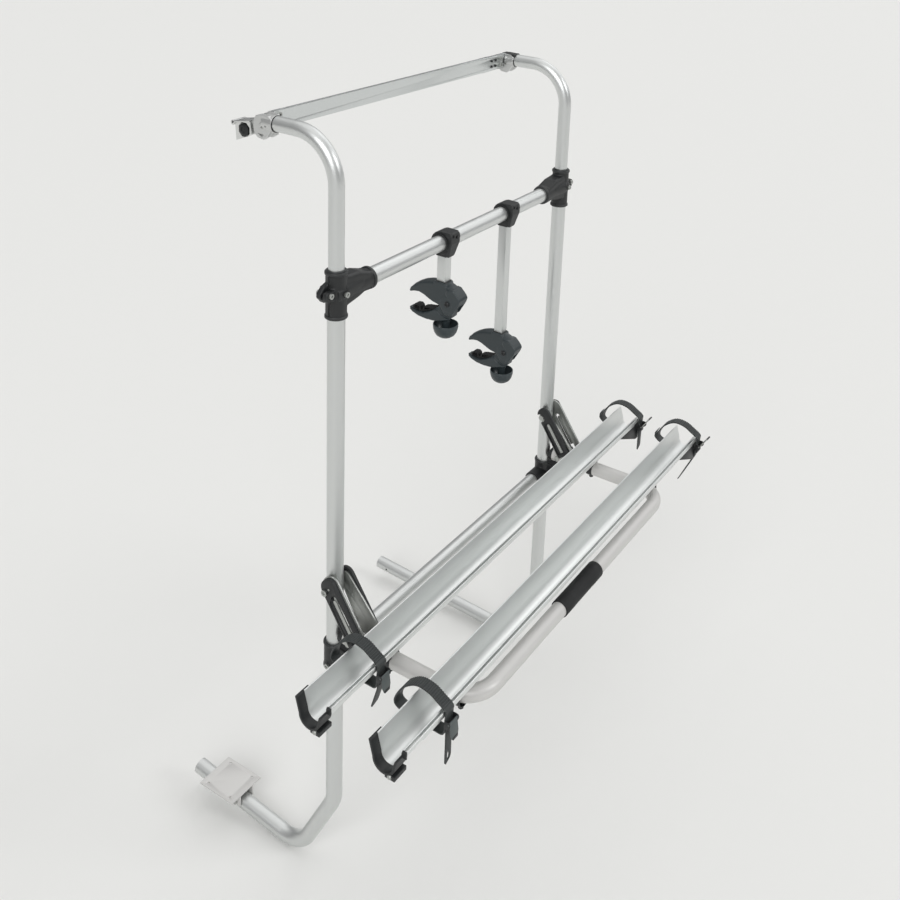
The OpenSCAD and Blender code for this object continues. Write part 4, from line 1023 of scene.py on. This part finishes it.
class RackStraps(bpy.types.Operator):
    """Ribbed wheel straps with their buckles, levers and loose tails"""
    bl_idname = "rack.straps"
    bl_label = "Wheel straps"

    def execute(self, context):
        for name, x, index, tail, slant, turn, slotted in STRAPS:
            place = (name, x, -RAIL_Y - index * RAIL_PITCH, sizes().strap_width / 2)
            self.strap(*place, tail, slant, slotted)
            self.buckle(*place)
            if name.startswith("far"):
                self.rail_guide(*place)
            self.lever(*place, turn)
        return {"FINISHED"}

    def strap(self, name, x, y, half, tail, slant, slotted):
        count = 420
        line, total = even_loop(smooth_loop(ARCH, 24), count)
        outer, inner = [], []
        for i, p in enumerate(line):
            d = (line[(i + 1) % count] - line[i - 1]).normalized()
            side = Vector((d.y, -d.x))
            rib = 0.0
            if p.y > 40 and -36 < p.x < 58:
                along = i / count * total
                wave = math.cos(2 * math.pi * along / sizes().strap_rib_pitch)
                rib = 0.9 * max(-0.7, min(0.7, 1.6 * wave))
            outer.append(Vector((y, RAIL_Z)) + p + side * (1.6 + rib))
            inner.append(Vector((y, RAIL_Z)) + p - side * 1.6)
        loop = bevel(band(outer, inner, x - half, x + half), 0.5, 1, 60)
        end = -tail + 4
        width = half - 3.2
        shape = [(-width, 8), (width, 8), (width, end + 12), (width - 2, end + 6),
                 (-width + 3, end - 2), (-width, end + 2)]
        strip = plate([(x + u, RAIL_Z + v) for u, v in shape], y - 41.3, y - 38.7, "Y")
        if slotted:
            hole = [(x + u, RAIL_Z + end + 5 + v) for u, v in
                    ((-2.6, 0), (2.6, 3), (3.4, 9), (2.6, 16), (0, 19), (-2.6, 16))]
            cut(strip, plate(hole, y - 60, y - 20, "Y"))
        strip = bevel(strip, 0.6, 2)
        edit(strip)
        bpy.ops.mesh.subdivide(number_cuts=3)
        leave()

        def hang(co):
            """The tail leans out from under the rail."""
            down = max(0.0, RAIL_Z + 2 - co.z)
            return Vector((co.x, co.y + slant * down / tail, co.z))

        taper(strip, hang)
        settle(join([loop, strip]), name + "_ribbed_band", name + "_loop", strap_plastic(),
               [name])

    def buckle(self, name, x, y, half):
        back, thick = y - 42.4, 2.0
        inside = half + 0.3
        outline = [(3, 15), (-4, 16), (-9, 21), (-10.4, 27), (-8.6, 31.4), (-4, 32.6), (3, 32)]
        outline = [(back + u, RAIL_Z + v) for u, v in outline]
        cheeks = [plate(outline, x - inside - thick, x - inside),
                  plate(outline, x + inside, x + inside + thick)]
        bridge = plate([(back - 0.1, RAIL_Z + 8), (back - 2.7, RAIL_Z + 8),
                        (back - 2.7, RAIL_Z + 24), (back - 0.1, RAIL_Z + 24)],
                       x - inside, x + inside)
        settle(bevel(join([*cheeks, bridge]), 0.7, 2), name + "_catch_body", name + "_loop",
               nylon_plain(), [name + "_buckle"])

    def rail_guide(self, name, x, y, half):
        """Wedge under the rail's lip beside a far strap, and the hook that keeps its band."""
        wedge = [(-1, 35.6), (-104, 35.6), (-108, 31), (-14, -13), (-1, -13)]
        guide = bevel(plate([(x + u, RAIL_Z + v) for u, v in wedge], y - 35.4, y - 31.6, "Y"),
                      0.8)
        hook = [(72, 4.4), (79, 6), (83.4, 12), (83, 24), (77, 34), (75.4, 33),
                (80.6, 23.4), (81, 13), (77.6, 8.2), (72, 6.8)]
        keeper = bevel(plate([(y + u, RAIL_Z + v) for u, v in hook], x - 8, x + 8), 0.5)
        settle(guide, name + "_rail_guide", name + "_loop", nylon_plain())
        settle(keeper, name + "_keeper", name + "_loop", lever_plastic())

    def lever(self, name, x, y, half, turn):
        blade = bevel(slab([(-half + 0.8, 0), (half - 0.8, 0), (half - 0.8, 24), (half - 4, 33),
                            (-half + 4, 33), (-half + 0.8, 24)], 1.6, "Y"), 1.1, 3)
        tip = bevel(slab([(-half + 3.4, 29), (half - 3.4, 29), (half - 5, 35.6),
                          (-half + 5, 35.6)], 2, "Y"), 0.9, 2)
        pin = rod((0, 0, 0), 1.9, 2 * half + 5.2, "X", 24)
        swing = Matrix.Translation((x, y - 49.5, RAIL_Z + 28)) @ Matrix.Rotation(
            math.radians(turn), 4, "X")
        lever = join([blade, pin])
        lever.data.transform(swing)
        tip.data.transform(swing)
        # The far levers are plated, the near ones are moulded
        finish = plated() if turn < 90 else lever_plastic()
        settle(lever, name + "_lever_blade", name + "_catch", finish,
               [name + "_lever"])
        settle(tip, name + "_lever_tip", name + "_catch", nylon_plain())


# Camera of the photograph: place in mm, directions, and focal length and centre in pixels
PHOTO_SIZE = 900
FOCAL = 1085.7
CENTRE = (523.6, 138.5)
CAMERA_PLACE = (-1452.7, -1264.3, 2220.6)
CAMERA_RIGHT = (0.5246, -0.8499, 0.0492)
CAMERA_DOWN = (-0.1997, -0.1791, -0.9634)

# Sun lamps: name, heading, height and angle in degrees, power
LAMPS = (
    ("key_light", -158, 34, 44, 1.4),
    ("side_light", -70, 30, 20, 0.6),
    ("top_light", 40, 72, 66, 0.45),
    ("rail_light", -6, 30, 60, 0.62),
)


class RackStage(bpy.types.Operator):
    """Pale floor, soft studio light and the camera of the photograph"""
    bl_idname = "rack.stage"
    bl_label = "Stage"

    def execute(self, context):
        scene = context.scene
        scene.view_settings.view_transform = "Standard"
        self.ground()
        self.world(scene)
        for lamp in LAMPS:
            self.lamp(scene, *lamp)
        self.camera(scene)
        return {"FINISHED"}

    def ground(self):
        clear()
        bpy.ops.mesh.primitive_plane_add(size=60, location=(0, 0, CAD_BOX[0].z - 0.0005))
        ground = bpy.context.object
        ground.name = "studio_floor"
        ground.data.materials.append(material(
            "matt_studio_floor", colours().floor, 0, 0.85, 6, 0.02, spread=0.01,
            rough_spread=0.03))

    def world(self, scene):
        """Soft light that is paler from above."""
        world = bpy.data.worlds.new("studio_light")
        scene.world = world
        world.use_nodes = True
        tree = world.node_tree
        where = add(tree, "ShaderNodeTexCoord")
        parts = add(tree, "ShaderNodeSeparateXYZ", {0: where.outputs["Generated"]})
        height = add(tree, "ShaderNodeMapRange",
                     {"Value": parts.outputs["Z"], "From Min": -0.05, "From Max": 0.95,
                      "To Min": 0.0, "To Max": 1.0})
        sky = add(tree, "ShaderNodeMix",
                  {0: height.outputs[0], 6: linear("#8d8e90"), 7: linear("#fbfbfa")},
                  data_type="RGBA")
        background = tree.nodes["Background"]
        tree.links.new(sky.outputs[2], background.inputs["Color"])
        background.inputs["Strength"].default_value = 0.6

    def lamp(self, scene, name, heading, height, angle, power):
        lamp = bpy.data.lights.new(name, "SUN")
        lamp.angle = math.radians(angle)
        lamp.energy = power
        holder = bpy.data.objects.new(name, lamp)
        scene.collection.objects.link(holder)
        a, h = math.radians(heading), math.radians(height)
        toward = Vector((math.cos(a) * math.cos(h), math.sin(a) * math.cos(h), math.sin(h)))
        holder.rotation_euler = toward.to_track_quat("Z", "Y").to_euler()

    def camera(self, scene):
        right = Vector(CAMERA_RIGHT).normalized()
        down = Vector(CAMERA_DOWN).normalized()
        forward = right.cross(down).normalized()
        down = forward.cross(right)
        place = (Vector(CAMERA_PLACE) - ORIGIN) * MM
        lens = bpy.data.cameras.new("photo_camera")
        lens.sensor_width = 36
        lens.lens = lens.sensor_width * FOCAL / PHOTO_SIZE
        lens.shift_x = -(CENTRE[0] - PHOTO_SIZE / 2) / PHOTO_SIZE
        lens.shift_y = (CENTRE[1] - PHOTO_SIZE / 2) / PHOTO_SIZE
        camera = bpy.data.objects.new("photo_camera", lens)
        scene.collection.objects.link(camera)
        camera.matrix_world = Matrix((
            (right.x, -down.x, -forward.x, place.x),
            (right.y, -down.y, -forward.y, place.y),
            (right.z, -down.z, -forward.z, place.z),
            (0, 0, 0, 1)))
        scene.camera = camera


OPERATORS = (RackTubes, RackTeeClamps, RackLowerClamps, RackFasteners, RackTopEnds,
             RackPlatform, RackRails, RackStays, RackArms, RackClaws, RackStraps, RackStage)


class RackPanel(bpy.types.Panel):
    """Lists the steps that build the rack"""
    bl_idname = "VIEW3D_PT_rack"
    bl_label = "Motorhome bike rack"
    bl_space_type = "VIEW_3D"
    bl_region_type = "UI"
    bl_category = "Rack"

    def draw(self, context):
        for group in (sizes(), colours()):
            for key in group.__annotations__:
                self.layout.prop(group, key)
        for operator in OPERATORS:
            self.layout.operator(operator.bl_idname)


CLASSES = (RackSizes, RackColours, *OPERATORS, RackPanel)


def register():
    for cls in CLASSES:
        bpy.utils.register_class(cls)
    bpy.types.Scene.rack_sizes = bpy.props.PointerProperty(type=RackSizes)
    bpy.types.Scene.rack_colours = bpy.props.PointerProperty(type=RackColours)


def unregister():
    del bpy.types.Scene.rack_colours
    del bpy.types.Scene.rack_sizes
    for cls in reversed(CLASSES):
        bpy.utils.unregister_class(cls)


def main():
    register()
    for operator in OPERATORS:
        getattr(bpy.ops.rack, operator.bl_idname.split(".")[1])()


if __name__ == "__main__":
    main()
